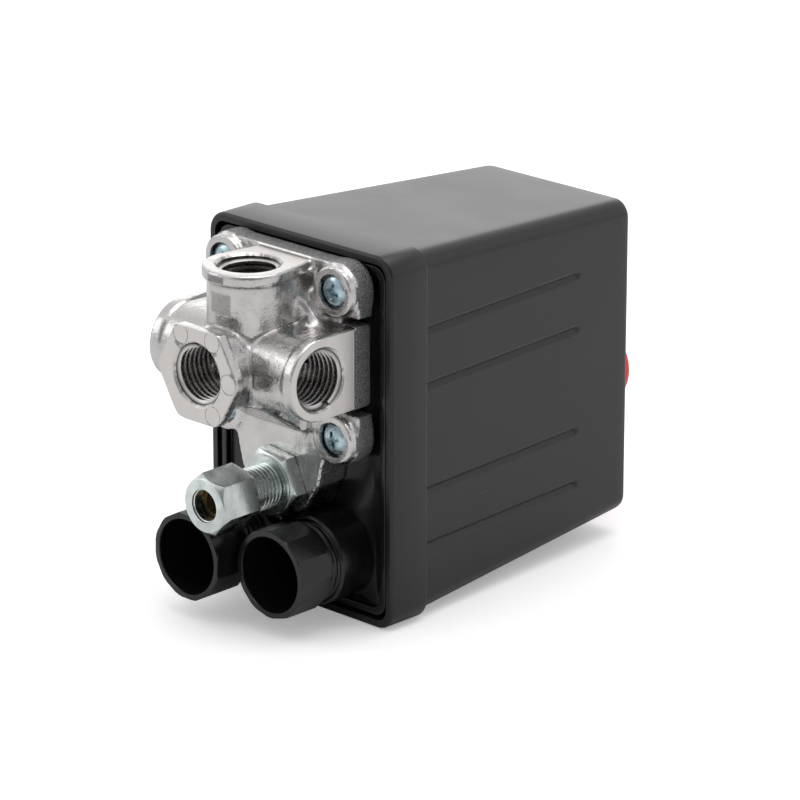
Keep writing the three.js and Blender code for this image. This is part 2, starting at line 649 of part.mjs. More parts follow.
function rockerSheet() {
  const bar = box(-rocker.half, rocker.half, rocker.front, rockerRear, rocker.low, rocker.high);
  const lugs = Object.values(sides).map((sx) => {
    const inner = rocker.half - rocker.sheet;
    const [x0, x1] = sx > 0 ? [inner, rocker.half] : [-rocker.half, -inner];
    return box(x0, x1, rocker.front, rocker.lugTop, rocker.pivotZ - rocker.lug, rocker.pivotZ + rocker.lug);
  });
  return cut(join(bar, ...lugs),
    turnedX(rod(rocker.pin / 2 + running, -rocker.half - 1, rocker.half + 1), rocker.pivotY, rocker.pivotZ,
      facets.small));
}

function springSeat() {
  const front = rockerRear + seat;
  const disc = rangeSpring.seatDiameter / 2;
  const spigot = (rangeSpring.outside - 2 * rangeSpring.wire) / 2 - gap;
  return turnedY([[0, front], [disc, front], [disc, seatRear], [spigot, seatRear],
    [spigot, seatRear + 2], [0, seatRear + 2]], 0, port.z, facets.medium);
}

function rangeSpringCoil() {
  return coil(rangeSpring.outside, rangeSpring.wire, rangeSpring.turns, seatRear + seat, cupFront - seat,
    0, port.z);
}

function rangeCupBody() {
  const halfX = frame.cheek - frame.sheet - gap;
  const slab = box(-halfX, halfX, cupFront, cupFront + rangeCup.thickness,
    frame.towerLow + 0.5, frame.towerHigh - 0.5);
  const spigot = cylinderY(rangeCup.spigot / 2, cupFront - rangeCup.spigotDepth, cupFront + 0.5,
    0, port.z, facets.medium);
  const socket = turnedY([[0, cupFront + 0.6], [rangeScrew.thread / 2 + gap, cupFront + 0.6],
    [rangeScrew.thread / 2 + gap, cupFront + rangeCup.thickness + 1],
    [0, cupFront + rangeCup.thickness + 1]], 0, port.z, facets.medium);
  return cut(join(slab, spigot), socket);
}

function rangeScrewBody() {
  const shank = rangeScrew.thread / 2;
  const tip = cupFront + 0.6 + seat;
  const headFront = towerTop + rangeScrew.headGap;
  const headTop = headFront + rangeScrew.headHeight;
  const shaft = turnedY([[0, tip], [shank - 0.6, tip], [shank, tip + 0.6], [shank, headFront + 0.2],
    [0, headFront + 0.2]], 0, port.z, facets.medium);
  const head = solid(prismY(regularPolygon(6, rangeScrew.head - 1, 0, port.z), headFront, headTop));
  const slot = box(-rangeScrew.head, rangeScrew.head, headTop - 1.4, headTop + 1, port.z - 0.6, port.z + 0.6);
  return cut(join(shaft, head), slot);
}

function contactCarrier() {
  const { half, height, z } = carrier;
  const bar = box(-half, half, carrier.front, carrier.rear, z - height / 2, z + height / 2);
  const foot = box(-rocker.half + 1, rocker.half - 1, rockerRear + seat, carrier.front + 0.5,
    z - height / 2, z + height / 2);
  return join(bar, foot);
}

function movingBridge(side) {
  const x = sides[side] * contact.x;
  const reach = contact.span + contact.tip / 2 + 0.6;
  const strip = box(x - contact.width / 2, x + contact.width / 2, bridgeFront + seat,
    bridgeFront + contact.strip, carrier.z - reach, carrier.z + reach);
  const tips = [-1, 1].map((sz) => cylinderY(contact.tip / 2, bridgeFront + contact.strip - 0.2, tipRear,
    x, carrier.z + sz * contact.span, facets.small));
  return join(strip, ...tips);
}

function contactBlock() {
  const { half, leg } = block;
  const body = box(-half, half, block.front, block.rear, block.low, block.high);
  const legs = Object.values(sides).map((sx) => {
    const [x0, x1] = sx > 0 ? [half - leg, half] : [-half, -half + leg];
    return box(x0, x1, floorRear + seat, block.front + 0.5, block.legLow, block.legHigh);
  });
  const screwHoles = terminalSpots.map(({ x, screwZ }) =>
    cylinderY(terminalScrew.thread / 2 + running, block.rear - terminalScrew.length - 0.5, block.rear + 1,
      x, screwZ, facets.small));
  return cut(join(body, ...legs),
    cylinderY(knob.stem / 2 + running, block.front - 1, block.rear + 1, 0, knob.z, facets.medium),
    ...screwHoles);
}

const terminalSpots = [[-1, 1], [1, 1], [-1, -1], [1, -1]].map(([sx, sz]) => ({
  x: sx * contact.x,
  sz,
  tipZ: carrier.z + sz * contact.span,
  edge: sz > 0 ? block.high : block.low,
  screwZ: (sz > 0 ? block.high : block.low) - sz * terminalScrew.inset,
}));

// A strip that wraps the contact block: contact pad in front, screw tab behind.
function terminal({ x, sz, tipZ, edge, screwZ }) {
  const tab = contact.tab;
  const front = padFront + contact.pad;
  const rear = block.rear + seat + tab;
  const over = edge + sz * (seat + tab);
  const under = edge + sz * seat;
  const innerFront = tipZ - sz * (contact.tip / 2 + 0.4);
  const innerRear = screwZ - sz * (terminalScrew.head / 2 + 0.4);
  const points = [[front, innerFront], [front, over], [rear, over], [rear, innerRear],
    [rear - tab, innerRear], [rear - tab, under], [block.front - seat, under],
    [block.front - seat, innerFront]];
  const strip = solid(prismX(polygon(sz > 0 ? points : points.reverse()),
    x - contact.width / 2, x + contact.width / 2));
  return cut(
    join(strip, cylinderY(contact.tip / 2, padFront, front + 0.2, x, tipZ, facets.small)),
    cylinderY(terminalScrew.thread / 2 + running, block.rear - 1, rear + 1, x, screwZ, facets.small));
}

function terminalScrewBody({ x, screwZ }) {
  const seatY = block.rear + 2 * seat + contact.tab;
  return panScrew(x, screwZ, seatY, 1, terminalScrew.thread, terminalScrew.head, terminalScrew.headHeight,
    terminalScrew.length);
}

function knobCap() {
  const r = knob.diameter / 2;
  const front = insideBack - knob.inside;
  const round = knob.round;
  const profile = [[0, front], [r, front], [r, knobRear - round]];
  for (let i = 1; i <= 4; i += 1) {
    const angle = i * Math.PI / 8;
    profile.push([r - round + round * Math.cos(angle), knobRear - round + round * Math.sin(angle)]);
  }
  profile.push([0, knobRear]);
  const socket = cylinderY(knob.stem / 2 + seat, front - 1, front + knob.socket, 0, knob.z, facets.medium);
  return cut(turnedY(profile, 0, knob.z, facets.large), socket);
}

function knobStem() {
  const r = knob.stem / 2;
  const g = knob.groove / 2;
  const front = carrier.rear + knob.travel + 0.5;
  const rear = insideBack - knob.inside + knob.socket - seat;
  const groove1 = detentY();
  const groove2 = groove1 + knob.travel;
  const profile = [[0, front], [r - 0.6, front], [r, front + 0.6]];
  for (const start of [groove1, groove2]) {
    profile.push([r, start], [g, start + 0.3], [g, start + knob.grooveWidth - 0.3],
      [r, start + knob.grooveWidth]);
  }
  profile.push([r, rear], [0, rear]);
  return turnedY(profile, 0, knob.z, facets.medium);
}

function detentY() {
  return block.rear + 0.6;
}

// A springy clip whose two legs rest in the stem's groove.
function detentClip() {
  const inner = knob.groove / 2 + seat;
  const sheet = 0.5;
  const half = knob.stem / 2 + 1.4;
  const y0 = detentY() + 0.35;
  const y1 = y0 + knob.grooveWidth - 0.7;
  const shape = polygon([[-inner - sheet, knob.z - half], [-inner, knob.z - half],
    [-inner, knob.z + half], [inner, knob.z + half], [inner, knob.z - half],
    [inner + sheet, knob.z - half], [inner + sheet, knob.z + half + sheet],
    [-inner - sheet, knob.z + half + sheet]]);
  return solid(prismY(shape, y0, y1));
}

function coverPillar() {
  const front = frameRear + seat;
  const hex = solid(prismY(regularPolygon(6, pillar.flats, 0, coverScrew.z), front, pillarRear));
  const bore = cylinderY(coverScrew.thread / 2 + running, pillarRear - coverScrew.length, pillarRear + 1,
    0, coverScrew.z, facets.small);
  return cut(hex, bore);
}

function coverScrewBody() {
  const seatY = cover.depth - coverScrew.recessDepth + seat;
  return panScrew(0, coverScrew.z, seatY, 1, coverScrew.thread, coverScrew.head, coverScrew.headHeight,
    coverScrew.length);
}

function earthScrew(side) {
  return panScrew(sides[side] * earth.x, port.z, frameRear + seat, 1, earth.thread, earth.head,
    earth.headHeight, earth.length);
}

// ---- Assembly -----------------------------------------------------------------------------

const group = new THREE.Group();
group.add(
  piece('cover', coverShell(), colours.plastic),
  piece('cover_screw', coverScrewBody(), colours.zincSteel),
  piece('cover_pillar', coverPillar(), colours.zincSteel),
  piece('base', baseTray(), colours.plastic),
  piece('manifold', manifoldBody(), colours.castAlloy),
  ...screwSpots.map((spot, i) =>
    piece(`manifold_screw_${i + 1}`, manifoldScrew(spot), colours.zincSteel)),
  piece('diaphragm', diaphragmDisc(), colours.rubber),
  piece('piston', pistonBody(), colours.whitePlastic),
  piece('valve_body', valveBody(), colours.zincSteel),
  piece('valve_pin', valvePin(), colours.brass),
  piece('valve_plug', valvePlug(), colours.brass),
  piece('valve_spring', valveSpring(), colours.zincSteel),
  piece('valve_nut', valveNut(), colours.zincSteel),
  piece('valve_olive', valveOlive(), colours.brass),
  piece('frame', frameSheet(), colours.sheetSteel),
  piece('pivot_pin', pivotPin(), colours.zincSteel),
  piece('rocker', rockerSheet(), colours.sheetSteel),
  piece('spring_seat', springSeat(), colours.sheetSteel),
  piece('range_spring', rangeSpringCoil(), colours.zincSteel),
  piece('range_cup', rangeCupBody(), colours.sheetSteel),
  piece('range_screw', rangeScrewBody(), colours.zincSteel),
  piece('contact_carrier', contactCarrier(), colours.whitePlastic),
  piece('contact_block', contactBlock(), colours.bakelite),
  piece('knob', knobCap(), colours.red),
  piece('knob_stem', knobStem(), colours.whitePlastic),
  piece('detent_clip', detentClip(), colours.sheetSteel),
);
terminalSpots.forEach((spot, i) => {
  group.add(
    piece(`terminal_${i + 1}`, terminal(spot), colours.brass),
    piece(`terminal_screw_${i + 1}`, terminalScrewBody(spot), colours.zincSteel));
});
for (const side of Object.keys(sides)) {
  const grommetRear = gland.seatRear - seat;
  group.add(
    piece(`moving_bridge_${side}`, movingBridge(side), colours.copper),
    piece(`earth_screw_${side}`, earthScrew(side), colours.brass),
    piece(`gland_nut_${side}`, glandNut(side), colours.plastic),
    piece(`gland_grommet_${side}`, glandRing(side, grommetRear, gland.grommet, gland.cordBore),
      colours.rubber),
    piece(`gland_washer_${side}`,
      glandRing(side, grommetRear - gland.grommet - seat, gland.washer, gland.inlet), colours.zincSteel));
}

// The origin is midway along the object, on the surface that it lies on.
group.position.y = (port.front - knobRear) / 2;

export default group;
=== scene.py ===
"""Detailed visual model of an air compressor's pressure switch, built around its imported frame."""
import json
import math

import bmesh
import bpy
import numpy as np
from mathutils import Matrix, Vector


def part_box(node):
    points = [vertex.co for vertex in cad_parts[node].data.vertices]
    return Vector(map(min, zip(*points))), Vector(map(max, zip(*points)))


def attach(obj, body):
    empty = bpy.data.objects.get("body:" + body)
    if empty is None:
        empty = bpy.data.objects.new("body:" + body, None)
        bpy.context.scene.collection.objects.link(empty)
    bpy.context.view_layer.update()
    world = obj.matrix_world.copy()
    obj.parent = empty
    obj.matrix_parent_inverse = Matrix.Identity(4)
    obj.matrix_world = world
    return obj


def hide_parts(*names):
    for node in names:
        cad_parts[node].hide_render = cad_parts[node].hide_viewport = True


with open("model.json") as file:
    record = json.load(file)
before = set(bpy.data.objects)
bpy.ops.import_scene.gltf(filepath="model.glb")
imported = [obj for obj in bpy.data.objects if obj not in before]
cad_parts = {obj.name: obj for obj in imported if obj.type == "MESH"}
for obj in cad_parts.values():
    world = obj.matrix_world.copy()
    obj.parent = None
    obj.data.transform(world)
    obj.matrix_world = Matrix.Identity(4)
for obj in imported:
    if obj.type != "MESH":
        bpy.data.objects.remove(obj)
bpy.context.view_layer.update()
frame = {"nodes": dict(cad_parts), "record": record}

import openvdb
from bpy.props import FloatProperty, FloatVectorProperty, IntProperty, PointerProperty
from mathutils import Matrix, Vector

bl_info = {
    "name": "Pressure Switch Maker",
    "version": (1, 0, 0),
    "blender": (4, 5, 0),
    "location": "3D View > Sidebar > Switch",
    "description": "Builds the casing, cast manifold, unloader valve and cable glands of a pressure switch",
    "category": "Add Mesh",
}

# ---- Places from the frame ----------------------------------------------------------------
# Shapes are drawn in millimetres. Y is counted from the rim of the cover, towards its back.

MM = 0.001
RIM_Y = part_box("cover")[0].y


def span(node):
    """Lowest and highest corner of a frame node, in millimetres from the cover's rim."""
    low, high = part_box(node)
    return [tuple(round(v, 3) for v in (p.x / MM, (p.y - RIM_Y) / MM, p.z / MM)) for p in (low, high)]


COVER_HALF, COVER_DEPTH, COVER_HEIGHT = span("cover")[1]
KNOB_LOW, KNOB_HIGH = span("knob")
TRAY_LOW, TRAY_HIGH = span("base")

SKIRT = 11.0
STEP = 1.0
DRAFT = 4.2
WALL = 1.8
CORNER = 4.5
GROOVE_HEIGHTS = (16.3, 28.6, 51.8, 64.0)
GROOVE_END = 62.5

PORT_Y = -14.75
PORT_Z = 58.3
PORT_TOP = 79.1
PORT_REACH = 21.0
PORT_FRONT = span("manifold")[0][1]
PLATE_FRONT = -4.2
PLATE_REAR = -0.05
EAR_FRONT = -7.0
TONGUE_FRONT = -6.15
SCREW_PITCH = 32.3
VALVE_Z = 29.1
GLAND_Z = 14.0
KNOB_Z = (KNOB_LOW[2] + KNOB_HIGH[2]) / 2
COVER_SCREW_Z = sum(p[2] for p in span("cover_screw")) / 2


# ---- Settings -----------------------------------------------------------------------------

class CoverSettings(bpy.types.PropertyGroup):
    """Sizes of the moulded cover's surface detail"""
    groove_width: FloatProperty(
        name="Groove Width", description="Width of the moulded lines on the cover's sides",
        default=1.7 * MM, min=0.5 * MM, unit="LENGTH")
    groove_depth: FloatProperty(
        name="Groove Depth", description="How deep the moulded lines go",
        default=0.55 * MM, min=0.0, unit="LENGTH")
    edge_round: FloatProperty(
        name="Edge Rounding", description="Radius of the skirt's and the back's edges",
        default=0.7 * MM, min=0.1 * MM, unit="LENGTH")


class CastingSettings(bpy.types.PropertyGroup):
    """Sizes of the die-cast manifold's surface"""
    cell: FloatProperty(
        name="Surface Cell", description="Size of the cells that the casting's surface is made from",
        default=0.36 * MM, min=0.2 * MM, unit="LENGTH")
    fillet: FloatProperty(
        name="Fillet", description="Radius where necks and bosses run into the plate",
        default=1.5 * MM, min=0.1 * MM, unit="LENGTH")
    thread_pitch: FloatProperty(
        name="Port Thread Pitch", description="Distance between two crests of the pipe threads",
        default=1.337 * MM, min=0.5 * MM, unit="LENGTH")


class FittingSettings(bpy.types.PropertyGroup):
    """Sizes of the threads and screws"""
    valve_pitch: FloatProperty(
        name="Valve Thread Pitch", description="Distance between two crests of the valve's thread",
        default=1.0 * MM, min=0.3 * MM, unit="LENGTH")
    gland_pitch: FloatProperty(
        name="Gland Thread Pitch", description="Distance between two crests of the gland nuts' threads",
        default=1.5 * MM, min=0.3 * MM, unit="LENGTH")
    screw_seed: IntProperty(
        name="Screw Turn Seed", description="Picks how far each screw's cross is turned", default=4)


class ColourSettings(bpy.types.PropertyGroup):
    """Colours of the finishes"""
    plastic: FloatVectorProperty(
        name="Cover Plastic", description="Satin moulded cover", subtype="COLOR", size=3,
        default=(0.009, 0.009, 0.010), min=0.0, max=1.0)
    tray: FloatVectorProperty(
        name="Tray Plastic", description="Glossy base and gland nuts", subtype="COLOR", size=3,
        default=(0.005, 0.005, 0.0055), min=0.0, max=1.0)
    alloy: FloatVectorProperty(
        name="Cast Alloy", description="Die-cast manifold", subtype="COLOR", size=3,
        default=(0.62, 0.605, 0.595), min=0.0, max=1.0)
    zinc: FloatVectorProperty(
        name="Bright Zinc", description="Plated valve and nut", subtype="COLOR", size=3,
        default=(0.74, 0.80, 0.78), min=0.0, max=1.0)
    blue_zinc: FloatVectorProperty(
        name="Blue Zinc", description="Passivated screws", subtype="COLOR", size=3,
        default=(0.50, 0.64, 0.70), min=0.0, max=1.0)
    knob: FloatVectorProperty(
        name="Knob", description="Red moulded knob", subtype="COLOR", size=3,
        default=(0.78, 0.022, 0.020), min=0.0, max=1.0)
    floor: FloatVectorProperty(
        name="Floor", description="Pale studio floor", subtype="COLOR", size=3,
        default=(0.93, 0.93, 0.93), min=0.0, max=1.0)


# ---- Making meshes ------------------------------------------------------------------------

def add_object(name, points, faces):
    """A closed mesh from points in millimetres, moved to its place in the frame."""
    placed = np.asarray(points, float) * MM + np.array((0.0, RIM_Y, 0.0))
    mesh = bpy.data.meshes.new(name)
    mesh.from_pydata(placed.tolist(), [], [list(f) for f in faces])
    obj = bpy.data.objects.new(name, mesh)
    bpy.context.scene.collection.objects.link(obj)
    return obj


def face_outwards(obj):
    """Merges doubled points and turns every face of a closed mesh outwards."""
    work = bmesh.new()
    work.from_mesh(obj.data)
    bmesh.ops.remove_doubles(work, verts=work.verts, dist=0.0005 * MM)
    bmesh.ops.recalc_face_normals(work, faces=work.faces)
    work.to_mesh(obj.data)
    work.free()
    return obj


def settle(obj):
    """Applies the modifiers of an object to its mesh and removes them."""
    depsgraph = bpy.context.evaluated_depsgraph_get()
    old = obj.data
    mesh = bpy.data.meshes.new_from_object(obj.evaluated_get(depsgraph))
    obj.modifiers.clear()
    obj.data = mesh
    mesh.name = obj.name
    bpy.data.meshes.remove(old)
    return obj


def combine(obj, other, operation):
    """Joins, cuts or crosses two closed meshes and removes the second one."""
    modifier = obj.modifiers.new(operation.lower(), "BOOLEAN")
    modifier.operation = operation
    modifier.solver = "MANIFOLD"
    modifier.object = other
    settle(obj)
    mesh = other.data
    bpy.data.objects.remove(other)
    bpy.data.meshes.remove(mesh)
    if not obj.data.polygons:
        raise RuntimeError(f"{obj.name} was empty after {operation.lower()}")
    return obj


def cut(obj, *tools):
    """Cuts each tool out of the object."""
    for tool in tools:
        combine(obj, tool, "DIFFERENCE")
    return obj


def weld(obj, *others):
    """Joins solids into the object."""
    for other in others:
        combine(obj, other, "UNION")
    return obj


def gather(name, objects):
    """One mesh that holds several separate solids."""
    work = bmesh.new()
    for obj in objects:
        work.from_mesh(obj.data)
        mesh = obj.data
        bpy.data.objects.remove(obj)
        bpy.data.meshes.remove(mesh)
    mesh = bpy.data.meshes.new(name)
    work.to_mesh(mesh)
    work.free()
    result = bpy.data.objects.new(name, mesh)
    bpy.context.scene.collection.objects.link(result)
    return result


def soften(obj, width, segments=2, angle=32.0):
    """Rounds the sharp edges by a width in millimetres."""
    bevel = obj.modifiers.new("edges", "BEVEL")
    bevel.width = width * MM
    bevel.segments = segments
    bevel.limit_method = "ANGLE"
    bevel.angle_limit = math.radians(angle)
    bevel.use_clamp_overlap = True
    return settle(obj)


def shade(obj, angle):
    """Smooth shading, with creases left sharp."""
    obj.data.shade_smooth()
    obj.data.set_sharp_from_angle(angle=math.radians(angle))
    return obj


AXES = {
    "X": lambda a, b, along: (along, a, b),
    "Y": lambda a, b, along: (a, along, b),
    "Z": lambda a, b, along: (a, b, along),
}


def turned(name, profile, centre, axis="Y", segments=96):
    """A turned solid from a list of (radius, place along the axis) that ends on the axis or closes."""
    place = AXES[axis]
    rings, points, faces = [], [], []
    for radius, along in profile:
        if radius < 1e-6:
            rings.append([len(points)])
            points.append(place(centre[0], centre[1], along))
            continue
        ring = []
        for step in range(segments):
            angle = 2 * math.pi * step / segments
            ring.append(len(points))
            points.append(place(centre[0] + radius * math.cos(angle),
                                centre[1] + radius * math.sin(angle), along))
        rings.append(ring)
    closes = len(rings[0]) > 1
    pairs = list(zip(rings, rings[1:] + rings[:1])) if closes else list(zip(rings, rings[1:]))
    for one, two in pairs:
        if len(one) == 1 and len(two) == 1:
            continue
        for step in range(segments):
            after = (step + 1) % segments
            if len(one) == 1:
                faces.append((one[0], two[after], two[step]))
            elif len(two) == 1:
                faces.append((one[step], one[after], two[0]))
            else:
                faces.append((one[step], one[after], two[after], two[step]))
    return face_outwards(add_object(name, points, faces))


def rod(name, radius, start, end, centre, axis="Y", segments=96):
    """A plain cylinder, used as a cutter or as a core."""
    return turned(name, [(0, start), (radius, start), (radius, end), (0, end)], centre, axis, segments)


def prism(name, outline, start, end):
    """An outline of (x, z) points pushed along Y."""
    count = len(outline)
    points = [(x, start, z) for x, z in outline] + [(x, end, z) for x, z in outline]
    faces = [tuple(range(count)), tuple(range(count, 2 * count))]
    faces += [(i, (i + 1) % count, count + (i + 1) % count, count + i) for i in range(count)]
    return face_outwards(add_object(name, points, faces))


def arc(centre, radius, start, end, steps):
    """Points of a round stretch, with its angles in degrees."""
    angles = np.radians(np.linspace(start, end, steps + 1))
    return [(centre[0] + radius * math.cos(t), centre[1] + radius * math.sin(t)) for t in angles]


def rounded_outline(a0, a1, b0, b1, radius, steps=8):
    """A rectangle with round corners."""
    return (arc((a1 - radius, b0 + radius), radius, -90, 0, steps)
            + arc((a1 - radius, b1 - radius), radius, 0, 90, steps)
            + arc((a0 + radius, b1 - radius), radius, 90, 180, steps)
            + arc((a0 + radius, b0 + radius), radius, 180, 270, steps))


def polygon_outline(sides, across, centre, turn=0.0):
    """A regular polygon of a size across its flats, with a corner at the angle `turn`."""
    radius = across / 2 / math.cos(math.pi / sides)
    return [(centre[0] + radius * math.cos(math.radians(turn) + 2 * math.pi * i / sides),
             centre[1] + radius * math.sin(math.radians(turn) + 2 * math.pi * i / sides))
            for i in range(sides)]


def read_vectors(items, what):
    """One row of three numbers for each point of a mesh."""
    values = np.empty(len(items) * 3, np.float32)
    items.foreach_get(what, values)
    return values.reshape(-1, 3)


def store(mesh, name, values):
    """Keeps a number on every point of a mesh, where its finish can read it."""
    layer = mesh.attributes.new(name, "FLOAT", "POINT")
    layer.data.foreach_set("value", np.asarray(values, np.float32))


def finish_piece(obj, body, slot, material, *nodes, angle=32.0):
    """Shades a piece, gives it its finish, ties it to its body and hides the nodes it stands for."""
    shade(obj, angle)
    obj.data.materials.clear()
    obj.data.materials.append(material)
    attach(obj, body)
    if nodes:
        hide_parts(*nodes)
    return obj


# ---- Making node trees --------------------------------------------------------------------

def add_node(tree, kind, values=None, **settings):
    """A node with its settings and with values on its inputs, by name or by number."""
    node = tree.nodes.new(kind)
    for key, value in settings.items():
        setattr(node, key, value)
    for key, value in (values or {}).items():
        node.inputs[key].default_value = value
    return node


def wire(tree, source, target):
    """Links an output socket to an input socket."""
    tree.links.new(source, target)


def helix_tree():
    """Geometry nodes for a screw thread: a tooth of four sides swept along a helix."""
    tree = bpy.data.node_groups.new("helical_thread", "GeometryNodeTree")
    sockets = tree.interface
    for name, kind, default in (
            ("Radius", "NodeSocketFloat", 5 * MM), ("Pitch", "NodeSocketFloat", 1 * MM),
            ("Turns", "NodeSocketFloat", 8.0), ("Root Width", "NodeSocketFloat", 0.9 * MM),
            ("Crest Width", "NodeSocketFloat", 0.2 * MM), ("Tooth Depth", "NodeSocketFloat", 0.6 * MM),
            ("Steps", "NodeSocketInt", 64), ("Facing", "NodeSocketFloat", -math.pi / 2)):
        sockets.new_socket(name, in_out="INPUT", socket_type=kind).default_value = default
    sockets.new_socket("Finish", in_out="INPUT", socket_type="NodeSocketMaterial")
    sockets.new_socket("Thread", in_out="OUTPUT", socket_type="NodeSocketGeometry")
    given = add_node(tree, "NodeGroupInput")
    result = add_node(tree, "NodeGroupOutput")
    height = add_node(tree, "ShaderNodeMath", operation="MULTIPLY")
    spiral = add_node(tree, "GeometryNodeCurveSpiral")
    upright = add_node(tree, "GeometryNodeSetCurveNormal", mode="Z_UP")
    tooth = add_node(tree, "GeometryNodeCurvePrimitiveQuadrilateral", mode="TRAPEZOID")
    tooth.inputs["Offset"].default_value = 0.0
    angle = add_node(tree, "ShaderNodeCombineXYZ")
    facing = add_node(tree, "GeometryNodeTransform")
    sweep = add_node(tree, "GeometryNodeCurveToMesh")
    sweep.inputs["Fill Caps"].default_value = True
    real = add_node(tree, "GeometryNodeRealizeInstances")
    paint = add_node(tree, "GeometryNodeSetMaterial")
    wire(tree, given.outputs["Pitch"], height.inputs[0])
    wire(tree, given.outputs["Turns"], height.inputs[1])
    wire(tree, given.outputs["Steps"], spiral.inputs["Resolution"])
    wire(tree, given.outputs["Turns"], spiral.inputs["Rotations"])
    wire(tree, given.outputs["Radius"], spiral.inputs["Start Radius"])
    wire(tree, given.outputs["Radius"], spiral.inputs["End Radius"])
    wire(tree, height.outputs[0], spiral.inputs["Height"])
    wire(tree, given.outputs["Root Width"], tooth.inputs["Bottom Width"])
    wire(tree, given.outputs["Crest Width"], tooth.inputs["Top Width"])
    wire(tree, given.outputs["Tooth Depth"], tooth.inputs["Height"])
    wire(tree, given.outputs["Facing"], angle.inputs["Z"])
    wire(tree, tooth.outputs[0], facing.inputs["Geometry"])
    wire(tree, angle.outputs[0], facing.inputs["Rotation"])
    wire(tree, spiral.outputs[0], upright.inputs["Curve"])
    wire(tree, upright.outputs[0], sweep.inputs["Curve"])
    wire(tree, facing.outputs[0], sweep.inputs["Profile Curve"])
    wire(tree, sweep.outputs[0], real.inputs[0])
    wire(tree, real.outputs[0], paint.inputs["Geometry"])
    wire(tree, given.outputs["Finish"], paint.inputs["Material"])
    wire(tree, paint.outputs[0], result.inputs[0])
    return tree


def screw_pattern_tree():
    """Geometry nodes that set a screw at each corner of a square, each turned by chance."""
    tree = bpy.data.node_groups.new("screw_pattern", "GeometryNodeTree")
    sockets = tree.interface
    sockets.new_socket("Screw", in_out="INPUT", socket_type="NodeSocketObject")
    sockets.new_socket("Pitch", in_out="INPUT", socket_type="NodeSocketFloat").default_value = 32 * MM
    sockets.new_socket("Centre", in_out="INPUT", socket_type="NodeSocketVector")
    sockets.new_socket("Seed", in_out="INPUT", socket_type="NodeSocketInt").default_value = 4
    sockets.new_socket("Finish", in_out="INPUT", socket_type="NodeSocketMaterial")
    sockets.new_socket("Screws", in_out="OUTPUT", socket_type="NodeSocketGeometry")
    given = add_node(tree, "NodeGroupInput")
    result = add_node(tree, "NodeGroupOutput")
    grid = add_node(tree, "GeometryNodeMeshGrid", {"Vertices X": 2, "Vertices Y": 2})
    stand = add_node(tree, "GeometryNodeTransform", {"Rotation": (math.pi / 2, 0.0, 0.0)})
    source = add_node(tree, "GeometryNodeObjectInfo", transform_space="ORIGINAL")
    chance = add_node(tree, "FunctionNodeRandomValue", data_type="FLOAT")
    chance.inputs[2].default_value = 0.0
    chance.inputs[3].default_value = math.pi / 2
    turn = add_node(tree, "ShaderNodeCombineXYZ")
    scatter = add_node(tree, "GeometryNodeInstanceOnPoints")
    real = add_node(tree, "GeometryNodeRealizeInstances")
    paint = add_node(tree, "GeometryNodeSetMaterial")
    wire(tree, given.outputs["Pitch"], grid.inputs["Size X"])
    wire(tree, given.outputs["Pitch"], grid.inputs["Size Y"])
    wire(tree, grid.outputs["Mesh"], stand.inputs["Geometry"])
    wire(tree, given.outputs["Centre"], stand.inputs["Translation"])
    wire(tree, given.outputs["Screw"], source.inputs["Object"])
    wire(tree, given.outputs["Seed"], chance.inputs["Seed"])
    wire(tree, chance.outputs[1], turn.inputs["Y"])
    wire(tree, stand.outputs[0], scatter.inputs["Points"])
    wire(tree, source.outputs["Geometry"], scatter.inputs["Instance"])
    wire(tree, turn.outputs[0], scatter.inputs["Rotation"])
    wire(tree, scatter.outputs[0], real.inputs[0])
    wire(tree, real.outputs[0], paint.inputs["Geometry"])
    wire(tree, given.outputs["Finish"], paint.inputs["Material"])
    wire(tree, paint.outputs[0], result.inputs[0])
    return tree


def shared_tree(name, build):
    """A node tree that is built once and found again by its name."""
    return bpy.data.node_groups.get(name) or build()


def grown(name, tree, values):
    """The plain mesh that a geometry node tree makes from named values."""
    host = bpy.data.objects.new(name, bpy.data.meshes.new(name))
    bpy.context.scene.collection.objects.link(host)
    modifier = host.modifiers.new("grow", "NODES")
    modifier.node_group = tree
    for item in tree.interface.items_tree:
        if item.item_type == "SOCKET" and item.in_out == "INPUT" and item.name in values:
            modifier[item.identifier] = values[item.name]
    return settle(host)


# Which way the teeth of a thread point, as the turn of their section.
INWARDS = -math.pi / 2
OUTWARDS = math.pi / 2
ROOT_SHARE = 0.86        # width of a tooth at its root, as a share of the pitch
CREST_SHARE = 0.26       # and at its crest


def thread(name, radius, depth, pitch, start, end, centre, axis, facing, finish, steps=64):
    """A thread around an axis: teeth on the radius, pointing in or out, between two places."""
    turns = (end - start) / pitch - ROOT_SHARE
    if turns <= 0:
        raise ValueError(f"{name} has no room for a turn")
    values = {
        "Radius": (radius - depth / 2 if facing == INWARDS else radius + depth / 2) * MM,
        "Pitch": pitch * MM, "Turns": turns, "Root Width": ROOT_SHARE * pitch * MM,
        "Crest Width": CREST_SHARE * pitch * MM, "Tooth Depth": depth * MM, "Steps": steps,
        "Facing": facing, "Finish": finish,
    }
    obj = grown(name, shared_tree("helical_thread", helix_tree), values)
    low = (start + ROOT_SHARE * pitch / 2) * MM
    a, b = centre[0] * MM, centre[1] * MM
    turn = {
        "X": Matrix(((0, 0, 1, low), (1, 0, 0, a + RIM_Y), (0, 1, 0, b), (0, 0, 0, 1))),
        "Y": Matrix(((0, 1, 0, a), (0, 0, 1, low + RIM_Y), (1, 0, 0, b), (0, 0, 0, 1))),
        "Z": Matrix(((1, 0, 0, a), (0, 1, 0, b + RIM_Y), (0, 0, 1, low), (0, 0, 0, 1))),
    }[axis]
    obj.data.transform(turn)
    mark_roots(face_outwards(obj), centre, axis, facing)
    return obj


